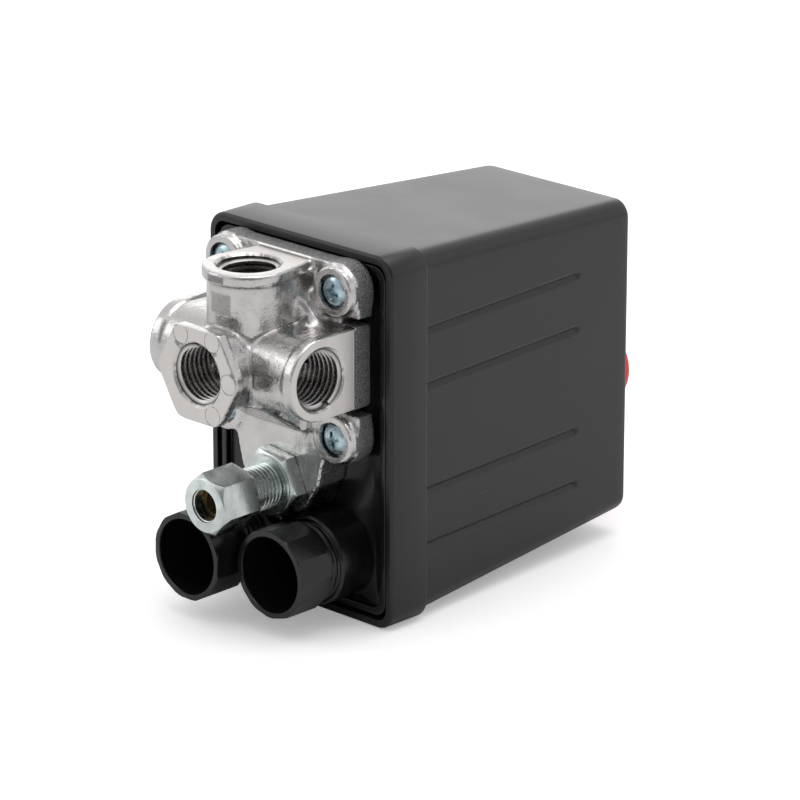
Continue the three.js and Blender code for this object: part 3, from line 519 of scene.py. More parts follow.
def mark_roots(obj, centre, axis, facing):
    """Stores how near each point of a thread is to its root, for the finish's painted shade in the roots."""
    across = {"X": (1, 2), "Y": (0, 2), "Z": (0, 1)}[axis]
    middle = [(place + (RIM_Y / MM if side == 1 else 0)) * MM for side, place in zip(across, centre)]
    points = read_vectors(obj.data.vertices, "co")
    reach = np.hypot(*(points[:, side] - place for side, place in zip(across, middle)))
    share = (reach - reach.min()) / (reach.max() - reach.min())
    store(obj.data, "root", share if facing == INWARDS else 1.0 - share)


# ---- Shared shader groups -----------------------------------------------------------------

def group_shell(name, inputs, outputs):
    """An empty shader group with named float inputs and outputs."""
    tree = bpy.data.node_groups.new(name, "ShaderNodeTree")
    kind = "NodeSocketFloat"
    for label, default in inputs:
        tree.interface.new_socket(label, in_out="INPUT", socket_type=kind).default_value = default
    for label in outputs:
        tree.interface.new_socket(label, in_out="OUTPUT", socket_type=kind)
    return tree, add_node(tree, "NodeGroupInput"), add_node(tree, "NodeGroupOutput")


def stretched(tree, source, low, high, to_low=0.0, to_high=1.0):
    """Maps a value from one range to another and clamps it."""
    node = add_node(tree, "ShaderNodeMapRange",
                    {"From Min": low, "From Max": high, "To Min": to_low, "To Max": to_high})
    wire(tree, source, node.inputs["Value"])
    return node.outputs["Result"]


def grain_group():
    """Fine grain and broad patches on a surface; the sizes are in millimetres."""
    tree, given, result = group_shell(
        "surface_grain", (("Grain Size", 0.4), ("Patch Size", 12.0)), ("Grain", "Patches"))
    place = add_node(tree, "ShaderNodeTexCoord")
    for label, detail, low, high in (("Grain", 3.0, 0.3, 0.7), ("Patches", 2.0, 0.36, 0.64)):
        size = add_node(tree, "ShaderNodeMath", {0: 1.0 / MM}, operation="DIVIDE")
        noise = add_node(tree, "ShaderNodeTexNoise", {"Detail": detail, "Roughness": 0.55})
        wire(tree, given.outputs["Grain Size" if label == "Grain" else "Patch Size"], size.inputs[1])
        wire(tree, place.outputs["Object"], noise.inputs["Vector"])
        wire(tree, size.outputs[0], noise.inputs["Scale"])
        wire(tree, stretched(tree, noise.outputs["Fac"], low, high), result.inputs[label])
    return tree


def scuff_group():
    """Sparse fine scratches from handling; lengths in millimetres."""
    tree, given, result = group_shell(
        "handling_scuffs", (("Length", 14.0), ("Share", 0.25)), ("Scuffs",))
    place = add_node(tree, "ShaderNodeTexCoord")
    total = None
    for turn, squeeze in (((0.3, 0.5, 0.2), (1.0, 26.0, 26.0)), ((0.9, 0.1, 1.1), (26.0, 1.0, 26.0))):
        lay = add_node(tree, "ShaderNodeMapping", {"Rotation": turn, "Scale": squeeze})
        size = add_node(tree, "ShaderNodeMath", {0: 1.0 / MM}, operation="DIVIDE")
        noise = add_node(tree, "ShaderNodeTexNoise", {"Detail": 1.0, "Roughness": 0.4})
        edge = add_node(tree, "ShaderNodeMath", {0: 0.86}, operation="SUBTRACT")
        share = add_node(tree, "ShaderNodeMath", {1: 0.3}, operation="MULTIPLY")
        over = add_node(tree, "ShaderNodeMath", operation="SUBTRACT")
        wire(tree, place.outputs["Object"], lay.inputs["Vector"])
        wire(tree, given.outputs["Length"], size.inputs[1])
        wire(tree, lay.outputs[0], noise.inputs["Vector"])
        wire(tree, size.outputs[0], noise.inputs["Scale"])
        wire(tree, given.outputs["Share"], share.inputs[0])
        wire(tree, share.outputs[0], edge.inputs[1])
        wire(tree, noise.outputs["Fac"], over.inputs[0])
        wire(tree, edge.outputs[0], over.inputs[1])
        one = stretched(tree, over.outputs[0], 0.0, 0.03)
        if total is None:
            total = one
        else:
            join = add_node(tree, "ShaderNodeMath", operation="MAXIMUM")
            wire(tree, total, join.inputs[0])
            wire(tree, one, join.inputs[1])
            total = join.outputs[0]
    wire(tree, total, result.inputs["Scuffs"])
    return tree


def dust_group():
    """Soft dust that settles on faces that look up."""
    tree, given, result = group_shell("settled_dust", (("Amount", 0.3), ("Size", 1.2)), ("Dust",))
    normal = add_node(tree, "ShaderNodeNewGeometry")
    up = add_node(tree, "ShaderNodeSeparateXYZ")
    place = add_node(tree, "ShaderNodeTexCoord")
    size = add_node(tree, "ShaderNodeMath", {0: 1.0 / MM}, operation="DIVIDE")
    noise = add_node(tree, "ShaderNodeTexNoise", {"Detail": 5.0, "Roughness": 0.7})
    scale = add_node(tree, "ShaderNodeMath", operation="MULTIPLY")
    amount = add_node(tree, "ShaderNodeMath", operation="MULTIPLY")
    wire(tree, normal.outputs["Normal"], up.inputs[0])
    wire(tree, place.outputs["Object"], noise.inputs["Vector"])
    wire(tree, given.outputs["Size"], size.inputs[1])
    wire(tree, size.outputs[0], noise.inputs["Scale"])
    wire(tree, stretched(tree, up.outputs["Z"], 0.3, 1.0), scale.inputs[0])
    wire(tree, stretched(tree, noise.outputs["Fac"], 0.35, 0.8), scale.inputs[1])
    wire(tree, scale.outputs[0], amount.inputs[0])
    wire(tree, given.outputs["Amount"], amount.inputs[1])
    wire(tree, amount.outputs[0], result.inputs["Dust"])
    return tree


GROUPS = {"surface_grain": grain_group, "handling_scuffs": scuff_group, "settled_dust": dust_group}


def place_group(tree, name, **values):
    """A shared group placed in a material with its own values."""
    node = add_node(tree, "ShaderNodeGroup", node_tree=shared_tree(name, GROUPS[name]))
    for key, value in values.items():
        node.inputs[key.replace("_", " ").title()].default_value = value
    return node


# ---- Finishes -----------------------------------------------------------------------------

def blank_finish(name):
    """A material with a Principled shader and nothing else."""
    material = bpy.data.materials.new(name)
    material.use_nodes = True
    tree = material.node_tree
    tree.nodes.clear()
    shader = add_node(tree, "ShaderNodeBsdfPrincipled")
    result = add_node(tree, "ShaderNodeOutputMaterial")
    wire(tree, shader.outputs[0], result.inputs["Surface"])
    return material, tree, shader


def mixed_colour(tree, mask, one, two):
    """A colour between two, by a mask."""
    node = add_node(tree, "ShaderNodeMix", data_type="RGBA", clamp_factor=True)
    node.inputs["A"].default_value = (*one, 1.0)
    node.inputs["B"].default_value = (*two, 1.0)
    wire(tree, mask, node.inputs["Factor"])
    return node.outputs["Result"]


def bumped(tree, height, distance, before=None):
    """A bump of a height in millimetres, on top of an earlier one."""
    node = add_node(tree, "ShaderNodeBump", {"Distance": distance * MM, "Strength": 1.0})
    wire(tree, height, node.inputs["Height"])
    if before is not None:
        wire(tree, before, node.inputs["Normal"])
    return node.outputs["Normal"]


def moulded(name, colour, rough, grain=0.35, height=0.012, scuffs=0.2, dust=0.1, light=1.3):
    """Moulded plastic: fine grain, broad gloss patches, pale scuffs and a little dust."""
    material, tree, shader = blank_finish(name)
    grained = place_group(tree, "surface_grain", grain_size=grain, patch_size=16.0)
    scuffed = place_group(tree, "handling_scuffs", length=11.0, share=scuffs)
    dusted = place_group(tree, "settled_dust", amount=dust, size=0.5)
    marks = add_node(tree, "ShaderNodeMath", operation="MAXIMUM")
    wire(tree, scuffed.outputs["Scuffs"], marks.inputs[0])
    wire(tree, dusted.outputs["Dust"], marks.inputs[1])
    pale = tuple(0.45 * c + 0.55 * (0.10 + c) for c in colour)
    base = mixed_colour(tree, grained.outputs["Patches"], colour, tuple(c * light for c in colour))
    mix = add_node(tree, "ShaderNodeMix", data_type="RGBA", clamp_factor=True)
    weight = add_node(tree, "ShaderNodeMath", {1: 0.5}, operation="MULTIPLY")
    wire(tree, marks.outputs[0], weight.inputs[0])
    wire(tree, weight.outputs[0], mix.inputs["Factor"])
    wire(tree, base, mix.inputs["A"])
    mix.inputs["B"].default_value = (*pale, 1.0)
    wire(tree, mix.outputs["Result"], shader.inputs["Base Color"])
    gloss = add_node(tree, "ShaderNodeMath", {1: 0.03}, operation="MULTIPLY_ADD")
    gloss.inputs[2].default_value = rough
    wire(tree, grained.outputs["Patches"], gloss.inputs[0])
    wire(tree, gloss.outputs[0], shader.inputs["Roughness"])
    shader.inputs["IOR"].default_value = 1.48
    wire(tree, bumped(tree, grained.outputs["Grain"], height), shader.inputs["Normal"])
    return material


def metal(name, colour, rough, dark=0.75, patch=5.0):
    """Plated or drawn metal: gloss patches, fine grain and scratches."""
    material, tree, shader = blank_finish(name)
    grained = place_group(tree, "surface_grain", grain_size=0.25, patch_size=patch)
    scuffed = place_group(tree, "handling_scuffs", length=5.0, share=0.35)
    tint = mixed_colour(tree, grained.outputs["Patches"], colour, tuple(c * dark for c in colour))
    wire(tree, tint, shader.inputs["Base Color"])
    gloss = add_node(tree, "ShaderNodeMath", {1: 0.14}, operation="MULTIPLY_ADD")
    gloss.inputs[2].default_value = rough
    worn = add_node(tree, "ShaderNodeMath", {1: 0.2}, operation="MULTIPLY_ADD")
    wire(tree, grained.outputs["Patches"], gloss.inputs[0])
    wire(tree, scuffed.outputs["Scuffs"], worn.inputs[0])
    wire(tree, gloss.outputs[0], worn.inputs[2])
    wire(tree, worn.outputs[0], shader.inputs["Roughness"])
    shader.inputs["Metallic"].default_value = 1.0
    wire(tree, bumped(tree, grained.outputs["Grain"], 0.006), shader.inputs["Normal"])
    return material


def cast_alloy(name, colour):
    """Cast skin with broad ripples, ground port faces, rough plate edges and painted shade in the inner
    corners.
    """
    material, tree, shader = blank_finish(name)
    broad = place_group(tree, "surface_grain", grain_size=2.6, patch_size=8.0)
    fine = place_group(tree, "surface_grain", grain_size=0.28, patch_size=2.2)
    scuffed = place_group(tree, "handling_scuffs", length=7.0, share=0.5)
    ground = add_node(tree, "ShaderNodeAttribute", attribute_name="ground")
    rough = add_node(tree, "ShaderNodeAttribute", attribute_name="sawn")
    hollow = add_node(tree, "ShaderNodeAttribute", attribute_name="hollow")
    skin = mixed_colour(tree, broad.outputs["Patches"], colour, tuple(c * 0.86 for c in colour))
    faces = add_node(tree, "ShaderNodeMix", data_type="RGBA")
    faces.inputs["B"].default_value = (0.66, 0.635, 0.615, 1.0)
    wire(tree, ground.outputs["Fac"], faces.inputs["Factor"])
    wire(tree, skin, faces.inputs["A"])
    sawn = add_node(tree, "ShaderNodeMix", data_type="RGBA")
    speckle = mixed_colour(tree, fine.outputs["Grain"], (0.05, 0.05, 0.052), (0.42, 0.42, 0.42))
    wire(tree, rough.outputs["Fac"], sawn.inputs["Factor"])
    wire(tree, faces.outputs["Result"], sawn.inputs["A"])
    wire(tree, speckle, sawn.inputs["B"])
    # painted shade: the inner corners of the casting are darkened towards a dark grey, by how hollow they lie
    hollow_shade = add_node(tree, "ShaderNodeMix", data_type="RGBA")
    hollow_shade.inputs["B"].default_value = (0.16, 0.155, 0.15, 1.0)
    depth = add_node(tree, "ShaderNodeMath", {1: 0.75}, operation="MULTIPLY")
    wire(tree, hollow.outputs["Fac"], depth.inputs[0])
    wire(tree, depth.outputs[0], hollow_shade.inputs["Factor"])
    wire(tree, sawn.outputs["Result"], hollow_shade.inputs["A"])
    wire(tree, hollow_shade.outputs["Result"], shader.inputs["Base Color"])
    shader.inputs["Metallic"].default_value = 1.0
    gloss = add_node(tree, "ShaderNodeMath", {1: 0.12}, operation="MULTIPLY_ADD")
    gloss.inputs[2].default_value = 0.16
    wire(tree, fine.outputs["Patches"], gloss.inputs[0])
    matt = add_node(tree, "ShaderNodeMath", {1: 0.16}, operation="MULTIPLY_ADD")
    wire(tree, ground.outputs["Fac"], matt.inputs[0])
    wire(tree, gloss.outputs[0], matt.inputs[2])
    harsh = add_node(tree, "ShaderNodeMath", {1: 0.22}, operation="MULTIPLY_ADD")
    wire(tree, rough.outputs["Fac"], harsh.inputs[0])
    wire(tree, matt.outputs[0], harsh.inputs[2])
    worn = add_node(tree, "ShaderNodeMath", {1: 0.15}, operation="MULTIPLY_ADD")
    wire(tree, scuffed.outputs["Scuffs"], worn.inputs[0])
    wire(tree, harsh.outputs[0], worn.inputs[2])
    wire(tree, worn.outputs[0], shader.inputs["Roughness"])
    calm = add_node(tree, "ShaderNodeMath", {0: 1.0}, operation="SUBTRACT")
    wire(tree, ground.outputs["Fac"], calm.inputs[1])
    ripple = add_node(tree, "ShaderNodeMath", operation="MULTIPLY")
    wire(tree, broad.outputs["Grain"], ripple.inputs[0])
    wire(tree, calm.outputs[0], ripple.inputs[1])
    first = bumped(tree, ripple.outputs[0], 0.09)
    crust = add_node(tree, "ShaderNodeMath", operation="MULTIPLY")
    wire(tree, fine.outputs["Grain"], crust.inputs[0])
    wire(tree, rough.outputs["Fac"], crust.inputs[1])
    second = bumped(tree, crust.outputs[0], 0.16, before=first)
    third = bumped(tree, fine.outputs["Grain"], 0.010, before=second)
    wire(tree, third, shader.inputs["Normal"])
    return material


def cut_thread(name, colour, hollow_shade=1.0):
    """Cut threads: bright crests, and roots darkened with painted shade."""
    material, tree, shader = blank_finish(name)
    grained = place_group(tree, "surface_grain", grain_size=0.3, patch_size=3.0)
    root = add_node(tree, "ShaderNodeAttribute", attribute_name="root")
    # painted shade: the roots of the teeth are darkened towards near black, by how near they lie to the root
    depth = stretched(tree, root.outputs["Fac"], 0.35, 0.95, 0.0, hollow_shade)
    mix = add_node(tree, "ShaderNodeMix", data_type="RGBA")
    mix.inputs["B"].default_value = (0.06, 0.05, 0.045, 1.0)
    wire(tree, depth, mix.inputs["Factor"])
    tint = mixed_colour(tree, grained.outputs["Patches"], colour, tuple(c * 0.8 for c in colour))
    wire(tree, tint, mix.inputs["A"])
    wire(tree, mix.outputs["Result"], shader.inputs["Base Color"])
    shader.inputs["Metallic"].default_value = 1.0
    wire(tree, stretched(tree, grained.outputs["Grain"], 0.0, 1.0, 0.22, 0.34), shader.inputs["Roughness"])
    wire(tree, bumped(tree, grained.outputs["Grain"], 0.004), shader.inputs["Normal"])
    return material


def finishes(scene):
    """Every finish by its name, each made once; most are named after a slot of the record."""
    colours = scene.switch_colours
    made = bpy.data.materials
    makers = {
        "black_plastic": lambda n: moulded(n, colours.plastic[:], 0.30, grain=0.5, height=0.010),
        "tray_plastic": lambda n: moulded(n, colours.tray[:], 0.20, grain=0.7, height=0.006, dust=0.05),
        "cast_alloy": lambda n: cast_alloy(n, colours.alloy[:]),
        "thread_alloy": lambda n: cut_thread(n, colours.alloy[:]),
        "thread_zinc": lambda n: cut_thread(n, colours.zinc[:], 0.5),
        "zinc_steel": lambda n: metal(n, colours.zinc[:], 0.16, patch=4.0),
        "blue_zinc": lambda n: metal(n, colours.blue_zinc[:], 0.20, dark=0.7, patch=1.6),
        "sheet_steel": lambda n: metal(n, (0.66, 0.64, 0.55), 0.3),
        "spring_steel": lambda n: metal(n, (0.48, 0.50, 0.52), 0.28),
        "brass": lambda n: metal(n, (0.50, 0.33, 0.14), 0.32, dark=0.6),
        "copper": lambda n: metal(n, (0.72, 0.42, 0.26), 0.25),
        "rubber": lambda n: moulded(n, (0.012, 0.012, 0.012), 0.62, grain=0.2, height=0.02),
        "white_plastic": lambda n: moulded(n, (0.70, 0.68, 0.62), 0.38, light=0.95, scuffs=0.1),
        "bakelite": lambda n: moulded(n, (0.05, 0.032, 0.026), 0.33),
        "red_plastic": lambda n: moulded(n, colours.knob[:], 0.26, light=0.9, height=0.006, dust=0.03),
    }
    return {name: made.get(f"{name}_finish") or make(f"{name}_finish") for name, make in makers.items()}


# ---- Cover --------------------------------------------------------------------------------

def side_heights(width):
    """Places along the cover's side, close together across each groove."""
    fine = [h + width * t for h in GROOVE_HEIGHTS for t in np.linspace(-0.85, 0.85, 15)]
    return sorted(fine + [10.5, 13.0, 22.5, 34.5, 40.2, 46.0, 58.0, 68.0, 71.5])


def cover_ring(half, low, high, radius, heights):
    """One section of the cover as (x, z) points, with the same count for every section."""
    top = [(half - radius) * t for t in np.linspace(0.92, -0.92, 7)]
    points = [(half, z) for z in heights]
    points += arc((half - radius, high - radius), radius, 0, 90, 8)
    points += [(x, high) for x in top]
    points += arc((-half + radius, high - radius), radius, 90, 180, 8)
    points += [(-half, z) for z in reversed(heights)]
    points += arc((-half + radius, low + radius), radius, 180, 270, 8)
    points += [(x, low) for x in reversed(top)]
    points += arc((half - radius, low + radius), radius, 270, 360, 8)
    return points


def lean(y):
    """How far the cover's sides have leaned in at a place along its depth."""
    return DRAFT * max(0.0, y - SKIRT) / (COVER_DEPTH - SKIRT)


def cover_stations(edge):
    """(y, inset) of the cover's outer sections: rim, skirt, step, leaning sides and round back."""
    turns = np.radians((0, 22.5, 45, 67.5, 90))
    rim = [(edge * (1 - math.sin(t)), edge * (1 - math.cos(t))) for t in turns[::-1]]
    skirt = [(SKIRT * 0.5, 0.0)]
    shoulder = [(SKIRT - edge * (1 - math.sin(t)), edge * (1 - math.cos(t))) for t in turns]
    step = [(SKIRT + 0.05, STEP - 0.12), (SKIRT + 0.2, STEP + lean(SKIRT + 0.2))]
    sides = [(y, STEP + lean(y)) for y in
             (12, 14, 18, 24, 32, 40, 48, 55, 58, 60, 60.6, 61.1, 61.6, 62, 62.4, 62.8, 63.2, 63.6,
              64.2, 65, 68, 72, 76, 78.4)]
    radius = edge * 1.5
    back = [(COVER_DEPTH - radius * (1 - math.sin(t)),
             STEP + lean(COVER_DEPTH) + radius * (1 - math.cos(t))) for t in turns]
    return rim + skirt + shoulder + step + sides + back


def groove_sink(y, z, width, depth):
    """Depth of the moulded lines at a place on the side."""
    if y < SKIRT + 0.1:
        return 0.0
    nearest = min(abs(z - height) for height in GROOVE_HEIGHTS)
    distance = math.hypot(nearest, max(0.0, y - GROOVE_END + width / 2))
    share = min(1.0, max(0.0, 1.0 - distance / (width * 0.62)))
    return depth * share * share * (3 - 2 * share)


def loft(rings):
    """Points and faces through rings of equal count, closed at both ends."""
    count = len(rings[0])
    points = [p for ring in rings for p in ring]
    faces = []
    for level in range(len(rings) - 1):
        first, second = level * count, (level + 1) * count
        faces += [(first + i, first + (i + 1) % count, second + (i + 1) % count, second + i)
                  for i in range(count)]
    faces.append(tuple(range(count)))
    faces.append(tuple(range((len(rings) - 1) * count, len(rings) * count)))
    return points, faces


def cover_shell(settings):
    """The drafted cover with its skirt, moulded lines, screw recess and knob hole."""
    width, depth, edge = (v / MM for v in (settings.groove_width, settings.groove_depth, settings.edge_round))
    heights = side_heights(width)
    rings = []
    for y, inset in cover_stations(edge):
        radius = CORNER - min(inset, STEP) * 0.6 - 0.3 * lean(y) / DRAFT
        section = cover_ring(COVER_HALF - inset, inset, COVER_HEIGHT - inset, radius, heights)
        ring = []
        for x, z in section:
            if abs(abs(x) - (COVER_HALF - inset)) < 1e-6:
                x -= math.copysign(groove_sink(y, z, width, depth), x)
            ring.append((x, y, z))
        rings.append(ring)
    shell = face_outwards(add_object("cover_shell", *loft(rings)))
    rooms = []
    for y, inset in ((-1.0, WALL), (SKIRT - WALL, WALL), (SKIRT - WALL + 0.01, STEP + WALL),
                     (COVER_DEPTH - WALL, STEP + WALL + DRAFT)):
        section = rounded_outline(-COVER_HALF + inset, COVER_HALF - inset, inset, COVER_HEIGHT - inset,
                                  CORNER - WALL)
        rooms.append([(x, y, z) for x, z in section])
    cut(shell, face_outwards(add_object("room", *loft(rooms))))
    boss = rod("boss", 5.5, COVER_DEPTH - 4.8, COVER_DEPTH - WALL + 0.5, (0, COVER_SCREW_Z))
    weld(shell, boss)
    knob_hole = turned("knob_hole", [(0, COVER_DEPTH - WALL - 1), (9.6, COVER_DEPTH - WALL - 1),
                                     (9.6, COVER_DEPTH - 0.4), (10.1, COVER_DEPTH + 0.1),
                                     (10.1, COVER_DEPTH + 1), (0, COVER_DEPTH + 1)], (0, KNOB_Z))
    recess = turned("recess", [(0, COVER_DEPTH - 8), (2.3, COVER_DEPTH - 8), (2.3, COVER_DEPTH - 3),
                               (4.6, COVER_DEPTH - 3), (4.6, COVER_DEPTH - 0.35),
                               (5.0, COVER_DEPTH + 0.05), (5.0, COVER_DEPTH + 1), (0, COVER_DEPTH + 1)],
                    (0, COVER_SCREW_Z))
    return cut(shell, knob_hole, recess)


class SWITCH_OT_cover(bpy.types.Operator):
    """Moulds the cover around the frame's cover"""
    bl_idname = "switch.cover"
    bl_label = "Cover"

    def execute(self, context):
        finish = finishes(context.scene)
        shell = cover_shell(context.scene.switch_cover)
        finish_piece(shell, "casing", "black_plastic", finish["black_plastic"], "cover", angle=24)
        return {"FINISHED"}


# ---- Base tray ----------------------------------------------------------------------------

GLAND_X = (span("gland_nut_right")[0][0] + span("gland_nut_right")[1][0]) / 2
GLAND_RADIUS = (span("gland_nut_right")[1][2] - span("gland_nut_right")[0][2]) / 2
GLAND_HEAD = 8.8
GLAND_TURNS = {"left": 14, "right": 0}
SIDES = {"left": -1, "right": 1}


def base_tray():
    """The tray in the cover's mouth, with the manifold's pad and the two gland bosses."""
    half = TRAY_HIGH[0]
    low, high = TRAY_LOW[2], TRAY_HIGH[2]
    rim, depth, wall, floor_front, floor_rear = 0.5, 9.0, 1.6, 1.9, 4.4

    def sheet(name, shrink, start, end, radius):
        """A plate of the tray's outline, made smaller all round."""
        outline = rounded_outline(-half + shrink, half - shrink, low + shrink, high - shrink, radius)
        return prism(name, outline, start, end)

    tray = sheet("base_tray", 0.0, rim, depth, 3.2)
    cut(tray, sheet("mouth", wall, rim - 1, floor_front, 2.4),
        sheet("room", wall, floor_rear, depth + 1, 2.4))
    soften(tray, 0.3, 3)
    pad = prism("pad", rounded_outline(-19.8, 19.8, 37.6, 77.2, 5.4), 0.0, floor_front + 0.5)
    piston_boss = rod("piston_boss", 14.8, floor_rear - 0.5, TRAY_HIGH[1], (0, PORT_Z))
    bosses = [turned("boss", [(0, 8), (9.75, 8), (9.75, -6.9), (9.45, -7.35), (9.2, -7.5), (0, -7.5)],
                     (side * GLAND_X, GLAND_Z)) for side in SIDES.values()]
    collars = [turned("collar", [(0, 3), (11.0, 3), (11.0, 2.2), (10.2, 1.8), (0, 1.8)],
                      (side * GLAND_X, GLAND_Z)) for side in SIDES.values()]
    weld(tray, pad, piston_boss, *bosses, *collars)
    bores = [turned("bore", [(0, -8.5), (9.1, -8.5), (9.1, -7.4), (8.98, -7.0), (8.98, 6), (6.5, 6),
                             (6.5, 20), (0, 20)], (side * GLAND_X, GLAND_Z)) for side in SIDES.values()]
    holes = [rod("hole", 2.3, -2, 12, (sx * SCREW_PITCH / 2, PORT_Z + sz * SCREW_PITCH / 2), segments=32)
             for sx in (-1, 1) for sz in (-1, 1)]
    piston = turned("piston_room", [(0, -1), (13.35, -1), (13.35, 1.6), (9.08, 1.6), (9.08, 5.3),
                                    (4.08, 5.3), (4.08, 14), (0, 14)], (0, PORT_Z))
    cut(tray, *bores, piston, rod("stem_hole", 4.25, -1, 12, (0, VALVE_Z)), *holes)
    return tray


class SWITCH_OT_base(bpy.types.Operator):
    """Moulds the base tray with its gland bosses"""
    bl_idname = "switch.base"
    bl_label = "Base Tray"

    def execute(self, context):
        finish = finishes(context.scene)
        finish_piece(base_tray(), "casing", "black_plastic", finish["tray_plastic"], "base")
        return {"FINISHED"}


# ---- Cast manifold ------------------------------------------------------------------------
# The casting is the zero level of a distance field, so that its parts run into each other
# with fillets, as a casting's do. Bores are cut afterwards, so that they stay crisp.

def blend_in(a, b, radius):
    """Joins two distances with a fillet."""
    share = np.clip(0.5 + 0.5 * (b - a) / radius, 0.0, 1.0)
    return b + (a - b) * share - radius * share * (1.0 - share)


def blend_out(a, b, radius):
    """Cuts distance b out of distance a with a rounded edge."""
    return -blend_in(-a, b, radius)


def both(a, b, radius):
    """What two distances share, with a rounded edge."""
    return -blend_in(-a, -b, radius)


def slab(along, start, end):
    """Distance to the space between two flat faces."""
    return np.abs(along - (start + end) / 2) - (end - start) / 2


def pushed(flat, thick, edge=0.25):
    """A flat outline's distance given a thickness, with rounded edges."""
    a, b = flat + edge, thick + edge
    outside = np.hypot(np.maximum(a, 0.0), np.maximum(b, 0.0))
    return np.minimum(np.maximum(a, b), 0.0) + outside - edge


def disc(a, b, centre, radius):
    """Distance to a round outline."""
    return np.hypot(a - centre[0], b - centre[1]) - radius


def rectangle(a, b, a0, a1, b0, b1, radius):
    """Distance to a rectangle with round corners."""
    da = np.abs(a - (a0 + a1) / 2) - (a1 - a0) / 2 + radius
    db = np.abs(b - (b0 + b1) / 2) - (b1 - b0) / 2 + radius
    return np.hypot(np.maximum(da, 0), np.maximum(db, 0)) + np.minimum(np.maximum(da, db), 0) - radius


def hexagon(a, b, centre, across):
    """Distance to a hexagon with flats above and below."""
    u, v = np.abs(a - centre[0]), np.abs(b - centre[1])
    return np.maximum(v, u * math.cos(math.pi / 6) + v * 0.5) - across / 2


def outline_distance(a, b, corners):
    """Distance to a closed outline of straight edges, negative inside."""
    best = np.full(np.broadcast(a, b).shape, 1e9, np.float32)
    inside = np.zeros(best.shape, bool)
    for (a0, b0), (a1, b1) in zip(corners, corners[1:] + corners[:1]):
        ea, eb = a1 - a0, b1 - b0
        wa, wb = a - a0, b - b0
        t = np.clip((wa * ea + wb * eb) / (ea * ea + eb * eb), 0.0, 1.0)
        best = np.minimum(best, (wa - ea * t) ** 2 + (wb - eb * t) ** 2)
        crosses = (b0 > b) != (b1 > b)
        if eb != 0:
            inside ^= crosses & (a < a0 + ea * (b - b0) / eb)
    return np.where(inside, -1.0, 1.0) * np.sqrt(best)


